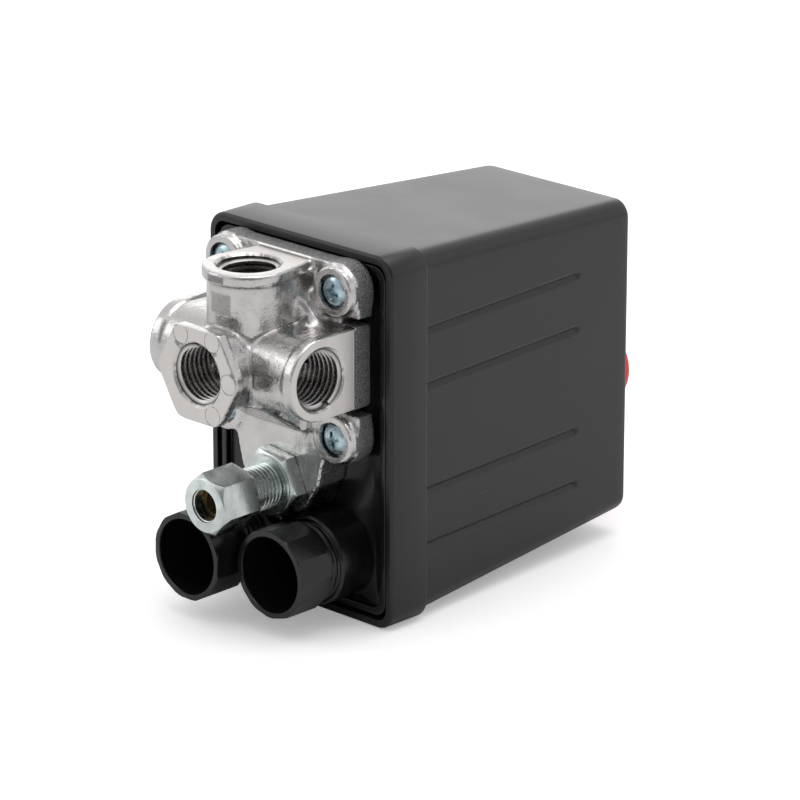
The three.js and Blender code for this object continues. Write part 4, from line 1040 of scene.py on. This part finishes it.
def casting_field(x, y, z, fillet):
    """Distance to the manifold's surface before its bores are drilled."""
    ax = np.abs(x)
    ear = SCREW_PITCH / 2
    ear_radius = 5.45
    half, low, high = 21.6, 36.7, 79.9

    # back plate with an ear at each corner and notches between the ears and the side ports
    sheet = rectangle(x, z, -half, half, low, high, ear_radius)
    notch = rectangle(ax, z, 16.6, half + 9, 47.6, 69.0, 1.6)
    port_back = rectangle(x, z, -PORT_REACH, PORT_REACH, PORT_Z - 8.9, PORT_Z + 8.9, 0.6)
    bottom = rectangle(x, z, -10.9, 10.9, low - 9, low + 3.0, 2.0)
    outline = np.minimum(np.maximum(np.maximum(sheet, -notch), -bottom), port_back)
    body = pushed(outline, slab(y, PLATE_FRONT, PLATE_REAR))
    ears = pushed(disc(ax, np.abs(z - PORT_Z), (ear, ear), ear_radius), slab(y, EAR_FRONT, PLATE_REAR), 0.5)
    corner = rectangle(ax, np.abs(z - PORT_Z), ear - 4.0, half, ear - 4.0, high - PORT_Z, ear_radius)
    ears = np.minimum(ears, pushed(corner, slab(y, EAR_FRONT + 0.9, PLATE_REAR), 0.6))
    body = blend_in(body, ears, fillet)

    # tongue that carries the unloader valve
    tongue = [(-10.7, 48.0), (-12.9, 36.9), (-11.3, 30.2), (-8.6, 25.4), (-6.8, 23.6), (-4.4, 22.95),
              (4.4, 22.95), (6.8, 23.6), (8.6, 25.4), (11.3, 30.2), (12.9, 36.9), (10.7, 48.0)]
    face = outline_distance(x[:, :1, :], z[:, :1, :], tongue)
    body = blend_in(body, pushed(face, slab(y, TONGUE_FRONT, PLATE_REAR), 0.35), fillet)
    foot = np.maximum(pushed(face, slab(y, TONGUE_FRONT, 1.85), 0.1), z - 37.2)
    body = np.minimum(body, foot)

    # web under the front port, and the raised shoulder that runs to the lower ears
    web = outline_distance(y[:1], z[:1], [(-0.05, 58.0), (-21.0, 58.0), (-20.0, 50.3), (-13.4, 46.0),
                                          (-8.2, 42.4), (-0.05, 42.4)])
    body = blend_in(body, pushed(web, slab(x, -8.8, 8.8), 1.8), 1.2)
    edge = 43.2 - 0.010 * ax * ax + 0.30 * np.maximum(ax - 9.0, 0.0)
    shoulder = np.maximum(edge - z, np.maximum(z - 51.0, ax - 14.6))
    body = blend_in(body, pushed(shoulder, slab(y, -8.3, PLATE_REAR), 0.7), 0.7)

    # necks of the four ports, then their collars
    rear = PLATE_FRONT + 0.6
    arch = np.where(y < PORT_Y, disc(y, z, (PORT_Y, PORT_Z), 0.0), np.abs(z - PORT_Z))
    side_neck = pushed(arch - 8.45, slab(x, -19.5, 19.5), 0.4)
    side_neck = np.maximum(side_neck, y - rear)
    dome = np.where(y < PORT_Y, disc(x, y, (0.0, PORT_Y), 0.0), ax)
    top_neck = np.maximum(pushed(dome - 8.75, slab(z, 52.0, 77.5), 0.4), y - rear)
    front_flat = both(hexagon(x, z, (0.0, PORT_Z), 17.7), disc(x, z, (0.0, PORT_Z), 9.35), 1.6)
    front_neck = pushed(front_flat, slab(y, PORT_FRONT + 1.0, PORT_Y), 0.3)
    necks = blend_in(blend_in(side_neck, top_neck, 0.9), front_neck, 0.9)
    necks = blend_in(necks, pushed(rectangle(ax, z, 0, 13.2, PORT_Z, 72.4, 3.0),
                                   slab(y, -8.6, PLATE_REAR), 1.8), 3.0)
    body = blend_in(body, necks, fillet * 1.3)
    side_collar = np.where(y < PORT_Y, disc(y, z, (PORT_Y, PORT_Z), 0.0), np.abs(z - PORT_Z)) - 8.9
    side_collar = np.maximum(pushed(side_collar, slab(ax, 18.2, PORT_REACH), 0.35), y - PLATE_REAR + 1.0)
    body = blend_in(body, side_collar, 0.4)
    round_half = np.where(y < PORT_Y, 9.75, 9.75 + (y - PORT_Y) * (7.8 - 9.75) / (rear - PORT_Y))
    top_collar = np.where(y < PORT_Y, disc(x, y, (0.0, PORT_Y), 0.0), ax) - round_half
    top_collar = np.maximum(pushed(top_collar, slab(z, PORT_TOP - 2.7, PORT_TOP), 0.7), y - rear)
    body = blend_in(body, top_collar, 0.4)
    corners = both(hexagon(x, z, (0.0, PORT_Z), 21.0), disc(x, z, (0.0, PORT_Z), 11.6), 0.6)
    body = blend_in(body, pushed(corners, slab(y, PORT_FRONT, PORT_FRONT + 2.7), 0.4), 0.4)

    # a flat ground on the top port's front, a scoop around each screw, and ejector pips
    elsewhere = 1e3 * (z < PORT_Z + 10)
    body = np.maximum(body, PORT_Y - 9.85 - y - elsewhere)
    scoop = np.maximum(disc(ax, np.abs(z - PORT_Z), (ear, ear), 6.7), y - EAR_FRONT - 0.05)
    body = blend_out(body, scoop, 1.2)
    for side in (-1, 1):
        pip = np.sqrt((x - side * 11.4) ** 2 + (y - PLATE_FRONT - 0.2) ** 2 + (z - 76.6) ** 2) - 1.2
        body = blend_in(body, pip, 0.4)
    return body


def casting_mesh(settings):
    """The raw casting from its distance field."""
    cell = settings.cell / MM
    low = np.array((-22.6, PORT_FRONT - 1.0, 21.9))
    high = np.array((22.6, 2.9, 80.9))
    count = np.ceil((high - low) / cell).astype(int) + 1
    x, y, z = (a.astype(np.float32) for a in np.meshgrid(
        *(low[i] + cell * np.arange(count[i]) for i in range(3)), indexing="ij"))
    field = casting_field(x, y, z, settings.fillet / MM)
    grid = openvdb.FloatGrid(float(cell * 3))
    grid.copyFromArray(np.clip(field, -cell * 3, cell * 3).astype(np.float32))
    points, quads = grid.convertToQuads(0.0)
    return add_object("manifold_casting", points * cell + low, quads.tolist())


def relax(obj, rounds):
    """Evens out a mesh without shrinking it."""
    for factor in (0.5, -0.52) * rounds:
        smooth = obj.modifiers.new("even", "SMOOTH")
        smooth.factor = factor
        smooth.iterations = 1
    return settle(obj)


PORTS = (
    ("front", "Y", (0.0, PORT_Z), PORT_FRONT, 1),
    ("right", "X", (PORT_Y, PORT_Z), PORT_REACH, -1),
    ("left", "X", (PORT_Y, PORT_Z), -PORT_REACH, 1),
    ("top", "Z", (0.0, PORT_Y), PORT_TOP, -1),
)
PORT_MAJOR = 6.58
PORT_MINOR = 5.72
PORT_DEPTH = 11.0


def drilled(casting):
    """Cuts the ports, passages, screw seats and the valve's hole into the casting."""
    def bore(axis, centre, face, inward):
        """One port: chamfered mouth, threaded length and drill point."""
        profile = [(0, face - inward), (7.15, face - inward), (7.15, face), (PORT_MAJOR, face + 0.5 * inward),
                   (PORT_MAJOR, face + PORT_DEPTH * inward), (4.2, face + (PORT_DEPTH + 1.3) * inward),
                   (0, face + (PORT_DEPTH + 1.3) * inward)]
        return turned("bore", profile, centre, axis)

    cut(casting, gather("bores", [bore(*port[1:]) for port in PORTS]))
    cut(casting,
        rod("cross_passage", 4.0, -12, 12, (PORT_Y, PORT_Z), "X"),
        rod("front_passage", 4.0, PORT_FRONT + 9, -1, (0, PORT_Z)),
        rod("top_passage", 4.0, PORT_Z, PORT_TOP - 9, (0, PORT_Y), "Z"))
    seats = []
    for sx in (-1, 1):
        for sz in (-1, 1):
            centre = (sx * SCREW_PITCH / 2, PORT_Z + sz * SCREW_PITCH / 2)
            seats.append(turned("seat", [(0, -9), (4.0, -9), (4.0, EAR_FRONT - 0.05), (3.8, EAR_FRONT + 0.25),
                                         (3.8, -4.35), (2.3, -4.35), (2.3, 1), (0, 1)], centre, segments=64))
    cut(casting, gather("seats", seats), rod("valve_hole", 4.1, -9, 4, (0, VALVE_Z)))
    rings = []
    for angle in (60, 120, 0, -60):
        spot = (9.25 * math.cos(math.radians(angle)), PORT_Z + 9.25 * math.sin(math.radians(angle)))
        rings.append(turned("ring", [(2.0, PORT_FRONT - 1), (2.25, PORT_FRONT - 1),
                                     (2.18, PORT_FRONT + 0.08), (2.07, PORT_FRONT + 0.08)],
                            spot, segments=48))
    return cut(casting, gather("ejector_marks", rings))


def hollowness(mesh, points, normals):
    """How deep each point lies in an inner corner, from 0 to 1, evened out over its neighbours."""
    count = len(points)
    edges = np.empty(len(mesh.edges) * 2, np.int64)
    mesh.edges.foreach_get("vertices", edges)
    one, two = edges.reshape(-1, 2).T
    step = points[two] - points[one]
    length = np.linalg.norm(step, axis=1) + 1e-9
    bend = ((normals[two] - normals[one]) * step).sum(1) / length ** 2
    total, share = np.zeros(count), np.zeros(count)
    for ends in (one, two):
        np.add.at(total, ends, bend)
        np.add.at(share, ends, 1.0)
    curve = total / np.maximum(share, 1.0)
    for _ in range(4):
        spread, share = np.zeros(count), np.zeros(count)
        for a, b in ((one, two), (two, one)):
            np.add.at(spread, a, curve[b])
            np.add.at(share, a, 1.0)
        curve = 0.5 * curve + 0.5 * spread / np.maximum(share, 1.0)
    return np.clip((-curve * MM - 0.12) / 0.6, 0.0, 1.0)


def mark_casting(obj):
    """Stores where the casting is ground, rough or hollow, for its finish; the hollows get painted shade."""
    mesh = obj.data
    points = read_vectors(mesh.vertices, "co")
    normals = read_vectors(mesh.vertices, "normal")
    x, y, z = points[:, 0] / MM, (points[:, 1] - RIM_Y) / MM, points[:, 2] / MM
    ground = ((np.abs(np.abs(x) - PORT_REACH) < 0.06) | (np.abs(y - PORT_FRONT) < 0.06)
              | (np.abs(z - PORT_TOP) < 0.06))
    outer = (y > PLATE_FRONT - 0.3) & (np.abs(normals[:, 1]) < 0.6)
    outer |= (y > -5.2) & (np.abs(normals[:, 0]) > 0.9)
    border = (np.abs(x) > 16.2) | (z > 78.6)
    sawn = (outer & border).astype(float)
    ground &= sawn == 0
    # where the parting line was filed on the front of the top port
    filed = (np.abs(x) < 2.3) & (z > PORT_TOP - 2.0) & (z < PORT_TOP - 0.7) & (y < PORT_Y - 9.0)
    scraped = (np.abs(x - 0.3) < 2.8) & (z > 70.2) & (z < 74.4) & (y < PORT_Y - 7.8)
    sawn = np.maximum(sawn, np.where(filed, 0.85, np.where(scraped, 0.45, 0.0)))
    for name, values in (("ground", ground), ("sawn", sawn), ("hollow", hollowness(mesh, points, normals))):
        store(mesh, name, values)


class SWITCH_OT_manifold(bpy.types.Operator):
    """Casts the manifold, drills it and cuts its pipe threads"""
    bl_idname = "switch.manifold"
    bl_label = "Manifold"

    def execute(self, context):
        settings = context.scene.switch_casting
        finish = finishes(context.scene)
        casting = relax(casting_mesh(settings), 2)
        drilled(casting)
        mark_casting(casting)
        finish_piece(casting, "casing", "cast_alloy", finish["cast_alloy"], "manifold", angle=38)
        threads = []
        pitch = settings.thread_pitch / MM
        for name, axis, centre, face, inward in PORTS:
            inner = face + inward * PORT_DEPTH
            start, end = sorted((face + inward * 0.25, inner))
            threads.append(thread(f"{name}_thread", PORT_MAJOR + 0.05, PORT_MAJOR - PORT_MINOR + 0.05, pitch,
                                  start, end, centre, axis, INWARDS, finish["thread_alloy"]))
        pipe = gather("port_threads", threads)
        finish_piece(pipe, "casing", "cast_alloy", finish["thread_alloy"], angle=20)
        return {"FINISHED"}


# ---- Screws -------------------------------------------------------------------------------

def cross_recess(name, size, top, depth):
    """A tapering cross-shaped recess, cut into a screw's head along -Y."""
    width = size * 0.2
    arms = []
    for a, b, shrink_a, shrink_b in ((size, width, 0.42, 0.7), (width, size, 0.7, 0.42)):
        outer = [(-a, -b), (a, -b), (a, b), (-a, b)]
        inner = [(p * shrink_a, q * shrink_b) for p, q in outer]
        points = [(p, top - 0.5, q) for p, q in outer] + [(p, top + depth, q) for p, q in inner]
        faces = [(0, 1, 2, 3), (4, 5, 6, 7)] + [(i, (i + 1) % 4, 4 + (i + 1) % 4, 4 + i) for i in range(4)]
        arms.append(face_outwards(add_object(name, points, faces)))
    hub = turned(name, [(0, top - 0.5), (size * 0.42, top - 0.5), (size * 0.34, top + depth * 0.75),
                        (0, top + depth * 1.15)], (0, 0), segments=32)
    return weld(arms[0], arms[1], hub)


def pan_screw(name, head, height, shank, length):
    """A pan-head screw with a cross recess; its head faces -Y and seats on Y = 0."""
    top = -height
    dome = [(head * math.sin(t), top + height * 0.62 * (1 - math.cos(t)))
            for t in np.radians(np.linspace(0, 78, 9))]
    profile = dome + [(head, -height * 0.18), (head - 0.15, 0.0), (shank, 0.0), (shank, length - 0.6),
                      (shank - 0.5, length), (0, length)]
    screw = turned(name, profile, (0, 0), segments=64)
    cut(screw, cross_recess("recess", head * 0.66, top, height * 0.55))
    screw.data.transform(Matrix.Translation((0, -RIM_Y, 0)))
    return screw


class SWITCH_OT_screws(bpy.types.Operator):
    """Sets the manifold's four screws and the cover's screw"""
    bl_idname = "switch.screws"
    bl_label = "Screws"

    def execute(self, context):
        finish = finishes(context.scene)
        seed = context.scene.switch_fittings.screw_seed
        pattern = pan_screw("screw_pattern_source", 3.5, 2.35, 2.0, 14.0)
        seat = span("manifold_screw_1")[0][1] + 2.4
        values = {"Screw": pattern, "Pitch": SCREW_PITCH * MM, "Seed": seed, "Finish": finish["blue_zinc"],
                  "Centre": (0.0, seat * MM + RIM_Y, PORT_Z * MM)}
        screws = grown("manifold_screws", shared_tree("screw_pattern", screw_pattern_tree), values)
        bpy.data.objects.remove(pattern)
        finish_piece(screws, "casing", "blue_zinc", finish["blue_zinc"],
                     *(f"manifold_screw_{i}" for i in range(1, 5)), angle=28)
        lid = pan_screw("cover_screw_detail", 3.7, 2.5, 2.0, 12.0)
        lid.data.transform(Matrix.Rotation(math.pi, 4, "Z"))
        seat = (COVER_DEPTH - 3.0 + 0.05) * MM + RIM_Y
        lid.data.transform(Matrix.Translation((0.0, seat, COVER_SCREW_Z * MM)))
        finish_piece(lid, "casing", "blue_zinc", finish["blue_zinc"], "cover_screw", angle=28)
        return {"FINISHED"}


# ---- Unloader valve -----------------------------------------------------------------------

VALVE_CENTRE = (0.0, VALVE_Z)
THREAD_FRONT = span("valve_body")[0][1]
NUT_FRONT, NUT_REAR = span("valve_nut")[0][1], span("valve_nut")[1][1]


def hex_solid(name, across, start, end, turn, front_chamfer, rear_chamfer):
    """A hexagon along Y with its corners turned off at the ends."""
    corner = across / 2 / math.cos(math.pi / 6)
    body = prism(name, polygon_outline(6, across, VALVE_CENTRE, turn), start, end)
    limit = turned("limit", [(0, start), (across / 2 - 0.25, start), (corner + 0.1, start + front_chamfer),
                             (corner + 0.1, end - rear_chamfer), (across / 2 - 0.1, end), (0, end)],
                   VALVE_CENTRE, segments=120)
    return soften(combine(body, limit, "INTERSECT"), 0.12, 2, 20)


def valve_body(settings, finish):
    """The valve's hexagon, its round end and its thread."""
    pitch = settings.valve_pitch / MM
    body = hex_solid("valve_body_detail", 14.0, -9.8, TONGUE_FRONT - 0.05, -6, 0.9, 0.1)
    core = turned("core", [(0, THREAD_FRONT), (3.9, THREAD_FRONT), (4.32, THREAD_FRONT + 0.5), (4.32, -9.9),
                           (4.9, -9.7), (4.9, -6.4), (3.95, -6.3), (3.95, 6.4),
                           (3.35, 7.0), (0, 7.0)], VALVE_CENTRE)
    weld(body, core)
    washer_face = turned("washer_face", [(0, -10.05), (6.3, -10.05), (6.6, -9.7), (0, -9.7)], VALVE_CENTRE)
    weld(body, washer_face)
    cut(body, rod("tube_room", 3.08, THREAD_FRONT - 1, THREAD_FRONT + 8, VALVE_CENTRE),
        rod("passage", 1.5, THREAD_FRONT + 7, -4, VALVE_CENTRE, segments=48),
        rod("chamber", 2.4, -5, 8, VALVE_CENTRE, segments=48))
    finish_piece(body, "casing", "zinc_steel", finish["zinc_steel"], "valve_body", angle=26)
    teeth = thread("valve_thread", 4.28, 0.62, pitch, THREAD_FRONT + 0.3, -9.3, VALVE_CENTRE, "Y", OUTWARDS,
                   finish["thread_zinc"])
    finish_piece(teeth, "casing", "zinc_steel", finish["thread_zinc"], angle=20)


def valve_nut():
    """The hexagonal nut that clamps the relief tube."""
    nut = hex_solid("valve_nut_detail", 12.0, NUT_FRONT, NUT_REAR, -14, 1.5, 0.3)
    bore = turned("bore", [(0, NUT_FRONT - 1), (3.9, NUT_FRONT - 1), (3.55, NUT_FRONT + 0.35),
                           (3.35, NUT_FRONT + 0.5), (3.35, NUT_FRONT + 2.4), (5.0, NUT_FRONT + 3.8),
                           (5.0, NUT_REAR - 0.4), (5.3, NUT_REAR + 0.1), (5.3, NUT_REAR + 1),
                           (0, NUT_REAR + 1)],
                  VALVE_CENTRE)
    return cut(nut, bore)


def valve_olive():
    """The brass ring that grips the tube, with a short insert behind it."""
    low, high = span("valve_olive")
    front, rear = low[1], high[1]
    middle = (front + rear) / 2
    profile = [(2.75, front), (3.45, front), (3.75, front + 0.3), (3.98, middle), (3.75, rear - 0.3),
               (3.45, rear), (3.08, rear), (3.08, front + 0.8), (2.75, front + 0.6)]
    return turned("valve_olive_detail", profile, VALVE_CENTRE)


class SWITCH_OT_valve(bpy.types.Operator):
    """Turns the unloader valve with its nut and olive"""
    bl_idname = "switch.valve"
    bl_label = "Unloader Valve"

    def execute(self, context):
        finish = finishes(context.scene)
        valve_body(context.scene.switch_fittings, finish)
        finish_piece(valve_nut(), "valve_nut", "zinc_steel", finish["zinc_steel"], "valve_nut", angle=26)
        finish_piece(valve_olive(), "casing", "brass", finish["brass"], "valve_olive")
        return {"FINISHED"}


# ---- Cable glands -------------------------------------------------------------------------

def gland_nut(side, settings, finish):
    """A twelve-sided gland nut with its thin wall and its thread."""
    node = f"gland_nut_{side}"
    low, high = span(node)
    front, rear = low[1], high[1]
    head_rear = front + GLAND_HEAD
    centre = (SIDES[side] * GLAND_X, GLAND_Z)
    across = 2 * GLAND_RADIUS * math.cos(math.pi / 12)
    body = prism(f"{node}_detail", polygon_outline(12, across, centre, GLAND_TURNS[side]), front, head_rear)
    limit = turned("limit", [(0, front), (across / 2 + 0.12, front), (GLAND_RADIUS + 0.1, front + 0.5),
                             (GLAND_RADIUS + 0.1, head_rear - 0.3), (across / 2, head_rear),
                             (0, head_rear)], centre, segments=144)
    soften(combine(body, limit, "INTERSECT"), 0.10, 2, 18)
    weld(body, turned("sleeve", [(0, head_rear - 0.5), (8.45, head_rear - 0.5), (8.45, rear - 0.5),
                                 (8.35, rear), (0, rear)], centre))
    bore = turned("bore", [(0, front - 1), (8.42, front - 1), (8.36, front), (8.26, front + 0.2),
                           (8.2, front + 1.2), (8.2, rear - 0.2), (8.3, rear + 1), (0, rear + 1)], centre)
    cut(body, bore)
    finish_piece(body, node, "black_plastic", finish["tray_plastic"], node, angle=20)
    pitch = settings.gland_pitch / MM
    teeth = thread(f"gland_thread_{side}", 8.40, 0.48, pitch, head_rear + 0.3, rear - 0.3, centre, "Y",
                   OUTWARDS, finish["tray_plastic"], steps=80)
    finish_piece(teeth, node, "black_plastic", finish["tray_plastic"], angle=20)


def gland_ring(side, kind, body_profile, finish_name, finish):
    """A ring inside the gland: the rubber grommet or the steel washer."""
    node = f"gland_{kind}_{side}"
    low, high = span(node)
    ring = turned(f"{node}_detail", body_profile(low[1], high[1]), (SIDES[side] * GLAND_X, GLAND_Z))
    finish_piece(ring, "casing", finish_name, finish[finish_name], node)


def grommet_profile(front, rear):
    """A grommet with two rounded sealing lips in its bore."""
    middle = (front + rear) / 2
    return [(4.4, front), (8.3, front), (8.8, front + 0.5), (8.8, rear), (4.4, rear), (4.0, rear - 0.6),
            (4.0, middle + 1.0), (4.5, middle + 0.5), (4.5, middle - 0.5), (4.0, middle - 1.0),
            (4.0, front + 0.6)]


def washer_profile(front, rear):
    """A flat washer with broken edges."""
    return [(6.6, front), (8.7, front), (8.8, front + 0.12), (8.8, rear - 0.12), (8.7, rear), (6.6, rear),
            (6.5, rear - 0.1), (6.5, front + 0.1)]


class SWITCH_OT_glands(bpy.types.Operator):
    """Moulds the two cable glands with their grommets and washers"""
    bl_idname = "switch.glands"
    bl_label = "Cable Glands"

    def execute(self, context):
        finish = finishes(context.scene)
        for side in SIDES:
            gland_nut(side, context.scene.switch_fittings, finish)
            gland_ring(side, "grommet", grommet_profile, "rubber", finish)
            gland_ring(side, "washer", washer_profile, "zinc_steel", finish)
        return {"FINISHED"}


# ---- Knob ---------------------------------------------------------------------------------

def knob_cap():
    """The red knob with its rounded edge and a shallow dish in its face."""
    front, rear = KNOB_LOW[1], KNOB_HIGH[1]
    radius = KNOB_HIGH[0]
    edge = 2.4
    profile = [(0, front), (radius - 0.3, front), (radius, front + 0.3), (radius, rear - edge)]
    profile += [(radius - edge + edge * math.cos(t), rear - edge + edge * math.sin(t))
                for t in np.radians(np.linspace(10, 90, 9))]
    profile += [(radius - 3.6, rear), (radius - 4.1, rear - 0.25), (2.0, rear - 0.75), (0, rear - 0.8)]
    knob = turned("knob_detail", profile, (0, KNOB_Z), segments=128)
    return cut(knob, rod("socket", 3.65, front - 1, front + 9, (0, KNOB_Z), segments=64))


class SWITCH_OT_knob(bpy.types.Operator):
    """Moulds the red push-pull knob"""
    bl_idname = "switch.knob"
    bl_label = "Knob"

    def execute(self, context):
        finish = finishes(context.scene)
        finish_piece(knob_cap(), "knob", "red_plastic", finish["red_plastic"], "knob")
        return {"FINISHED"}


# ---- Mechanism ----------------------------------------------------------------------------

class SWITCH_OT_mechanism(bpy.types.Operator):
    """Gives the frame's inner pieces the finish that the record names"""
    bl_idname = "switch.mechanism"
    bl_label = "Mechanism"

    def execute(self, context):
        finish = finishes(context.scene)
        for part in frame["record"]["subparts"]:
            mesh = frame["nodes"][part["node"]].data
            mesh.materials.clear()
            mesh.materials.append(finish[part["material_slot"]])
        return {"FINISHED"}


# ---- Stage --------------------------------------------------------------------------------

class SWITCH_OT_stage(bpy.types.Operator):
    """Sets the floor, the soft studio light and the camera"""
    bl_idname = "switch.stage"
    bl_label = "Studio"

    def execute(self, context):
        scene = context.scene
        set_floor(scene)
        set_world(scene)
        set_lights(scene)
        set_camera(scene)
        scene.view_settings.view_transform = "Standard"
        return {"FINISHED"}


def set_floor(scene):
    """A wide pale floor."""
    size = 4000.0
    corners = [(-size, -size, 0), (size, -size, 0), (size, size, 0), (-size, size, 0)]
    floor = add_object("studio_floor", corners, [(0, 1, 2, 3)])
    material, tree, shader = blank_finish("studio_floor")
    grained = place_group(tree, "surface_grain", grain_size=3.0, patch_size=300.0)
    colour = scene.switch_colours.floor[:]
    wire(tree, mixed_colour(tree, grained.outputs["Patches"], colour, tuple(c * 0.99 for c in colour)),
         shader.inputs["Base Color"])
    shader.inputs["Roughness"].default_value = 0.9
    shader.inputs["Emission Color"].default_value = (1.0, 1.0, 1.0, 1.0)
    shader.inputs["Emission Strength"].default_value = 0.3
    dull = add_node(tree, "ShaderNodeBsdfDiffuse", {"Color": (0.78, 0.78, 0.78, 1.0)})
    path = add_node(tree, "ShaderNodeLightPath")
    pick = add_node(tree, "ShaderNodeMixShader")
    wire(tree, path.outputs["Is Camera Ray"], pick.inputs[0])
    wire(tree, dull.outputs[0], pick.inputs[1])
    wire(tree, shader.outputs[0], pick.inputs[2])
    wire(tree, pick.outputs[0], tree.nodes["Material Output"].inputs["Surface"])
    floor.data.materials.append(material)


def set_world(scene):
    """A white surround with darker bands for the metal to reflect."""
    world = bpy.data.worlds.new("studio")
    scene.world = world
    world.use_nodes = True
    tree = world.node_tree
    tree.nodes.clear()
    place = add_node(tree, "ShaderNodeTexCoord")
    split = add_node(tree, "ShaderNodeSeparateXYZ")
    ramp = add_node(tree, "ShaderNodeValToRGB")
    shades = ((0.0, 0.62), (0.06, 0.95), (0.30, 1.15), (0.55, 0.80), (0.75, 1.05), (1.0, 1.2))
    for position, _ in shades[1:-1]:
        ramp.color_ramp.elements.new(position)
    for element, (position, value) in zip(ramp.color_ramp.elements, shades):
        element.position = position
        element.color = (value, value, value * 1.01, 1.0)
    # the room is dark on the side that the ports face
    facing = add_node(tree, "ShaderNodeVectorMath", operation="DOT_PRODUCT")
    facing.inputs[1].default_value = (0.66, -0.68, 0.10)
    wire(tree, place.outputs["Generated"], facing.inputs[0])
    dim = stretched(tree, facing.outputs["Value"], 0.45, 0.95, 1.0, 0.22)
    shaded = add_node(tree, "ShaderNodeMix", data_type="RGBA", blend_type="MULTIPLY")
    shaded.inputs["Factor"].default_value = 1.0
    wire(tree, ramp.outputs["Color"], shaded.inputs["A"])
    wire(tree, dim, shaded.inputs["B"])
    path = add_node(tree, "ShaderNodeLightPath")
    seen = add_node(tree, "ShaderNodeBackground", {"Color": (1.0, 1.0, 1.0, 1.0), "Strength": 1.0})
    lit = add_node(tree, "ShaderNodeBackground", {"Strength": 0.85})
    pick = add_node(tree, "ShaderNodeMixShader")
    result = add_node(tree, "ShaderNodeOutputWorld")
    wire(tree, place.outputs["Generated"], split.inputs[0])
    wire(tree, split.outputs["Z"], ramp.inputs["Fac"])
    panel = add_node(tree, "ShaderNodeVectorMath", operation="DOT_PRODUCT")
    panel.inputs[1].default_value = (-0.66, 0.68, 0.30)
    wire(tree, place.outputs["Generated"], panel.inputs[0])
    glow = stretched(tree, panel.outputs["Value"], 0.72, 0.97, 0.0, 0.25)
    total = add_node(tree, "ShaderNodeMix", data_type="RGBA", blend_type="ADD")
    total.inputs["Factor"].default_value = 1.0
    wire(tree, shaded.outputs["Result"], total.inputs["A"])
    wire(tree, glow, total.inputs["B"])
    wire(tree, total.outputs["Result"], lit.inputs["Color"])
    wire(tree, path.outputs["Is Camera Ray"], pick.inputs[0])
    wire(tree, lit.outputs[0], pick.inputs[1])
    wire(tree, seen.outputs[0], pick.inputs[2])
    wire(tree, pick.outputs[0], result.inputs["Surface"])


def set_lights(scene):
    """Large soft boxes above, to the left and behind the object."""
    boxes = (
        ("overhead_box", (0.10, 0.15, 1.1), 0.9, 4.0),
        ("left_box", (-0.9, -0.7, 0.6), 0.6, 1.2),
        ("rear_box", (-0.85, 0.85, 0.45), 0.8, 1.0),
    )
    target = Vector((0.0, 0.0, 0.04))
    for name, place, size, power in boxes:
        data = bpy.data.lights.new(name, "AREA")
        data.shape = "SQUARE"
        data.size = size
        data.energy = power
        lamp = bpy.data.objects.new(name, data)
        lamp.location = place
        lamp.rotation_euler = (target - Vector(place)).to_track_quat("-Z", "Y").to_euler()
        scene.collection.objects.link(lamp)


def set_camera(scene):
    """The camera: a long lens, above and to the right of the ports."""
    azimuth, elevation, roll = (math.radians(a) for a in (43.83, 18.90, 0.06))
    data = bpy.data.cameras.new("camera")
    data.sensor_width = 36.0
    data.lens = 217.29
    data.clip_start = 0.01
    data.clip_end = 50.0
    camera = bpy.data.objects.new("camera", data)
    forward = Vector((-math.sin(azimuth) * math.cos(elevation), math.cos(azimuth) * math.cos(elevation),
                      -math.sin(elevation)))
    turn = forward.to_track_quat("-Z", "Y").to_matrix() @ Matrix.Rotation(roll, 3, "Z")
    camera.matrix_world = Matrix.Translation(Vector((682.5, -713.7, 375.4)) * MM) @ turn.to_4x4()
    scene.collection.objects.link(camera)
    scene.camera = camera


# ---- Panel and registration ---------------------------------------------------------------

OPERATORS = (SWITCH_OT_mechanism, SWITCH_OT_cover, SWITCH_OT_base, SWITCH_OT_manifold, SWITCH_OT_screws,
             SWITCH_OT_valve, SWITCH_OT_glands, SWITCH_OT_knob, SWITCH_OT_stage)
SETTINGS = {"switch_cover": CoverSettings, "switch_casting": CastingSettings,
            "switch_fittings": FittingSettings, "switch_colours": ColourSettings}


class SWITCH_PT_panel(bpy.types.Panel):
    """Lists the settings and the steps that build the switch"""
    bl_idname = "SWITCH_PT_panel"
    bl_label = "Pressure Switch"
    bl_space_type = "VIEW_3D"
    bl_region_type = "UI"
    bl_category = "Switch"

    def draw(self, context):
        for name, kind in SETTINGS.items():
            box = self.layout.box()
            for field in kind.__annotations__:
                box.prop(getattr(context.scene, name), field)
        for operator in OPERATORS:
            self.layout.operator(operator.bl_idname)


CLASSES = (*SETTINGS.values(), *OPERATORS, SWITCH_PT_panel)


def register():
    """Adds the settings, the steps and the panel to Blender."""
    for kind in CLASSES:
        bpy.utils.register_class(kind)
    for name, kind in SETTINGS.items():
        setattr(bpy.types.Scene, name, PointerProperty(type=kind))


def unregister():
    """Takes them out again, last first."""
    for name in SETTINGS:
        delattr(bpy.types.Scene, name)
    for kind in reversed(CLASSES):
        bpy.utils.unregister_class(kind)


def main():
    """Builds everything, step by step."""
    register()
    for operator in OPERATORS:
        group, name = operator.bl_idname.split(".")
        if getattr(getattr(bpy.ops, group), name)() != {"FINISHED"}:
            raise RuntimeError(f"{operator.bl_label} was not finished")


if __name__ == "__main__":
    main()
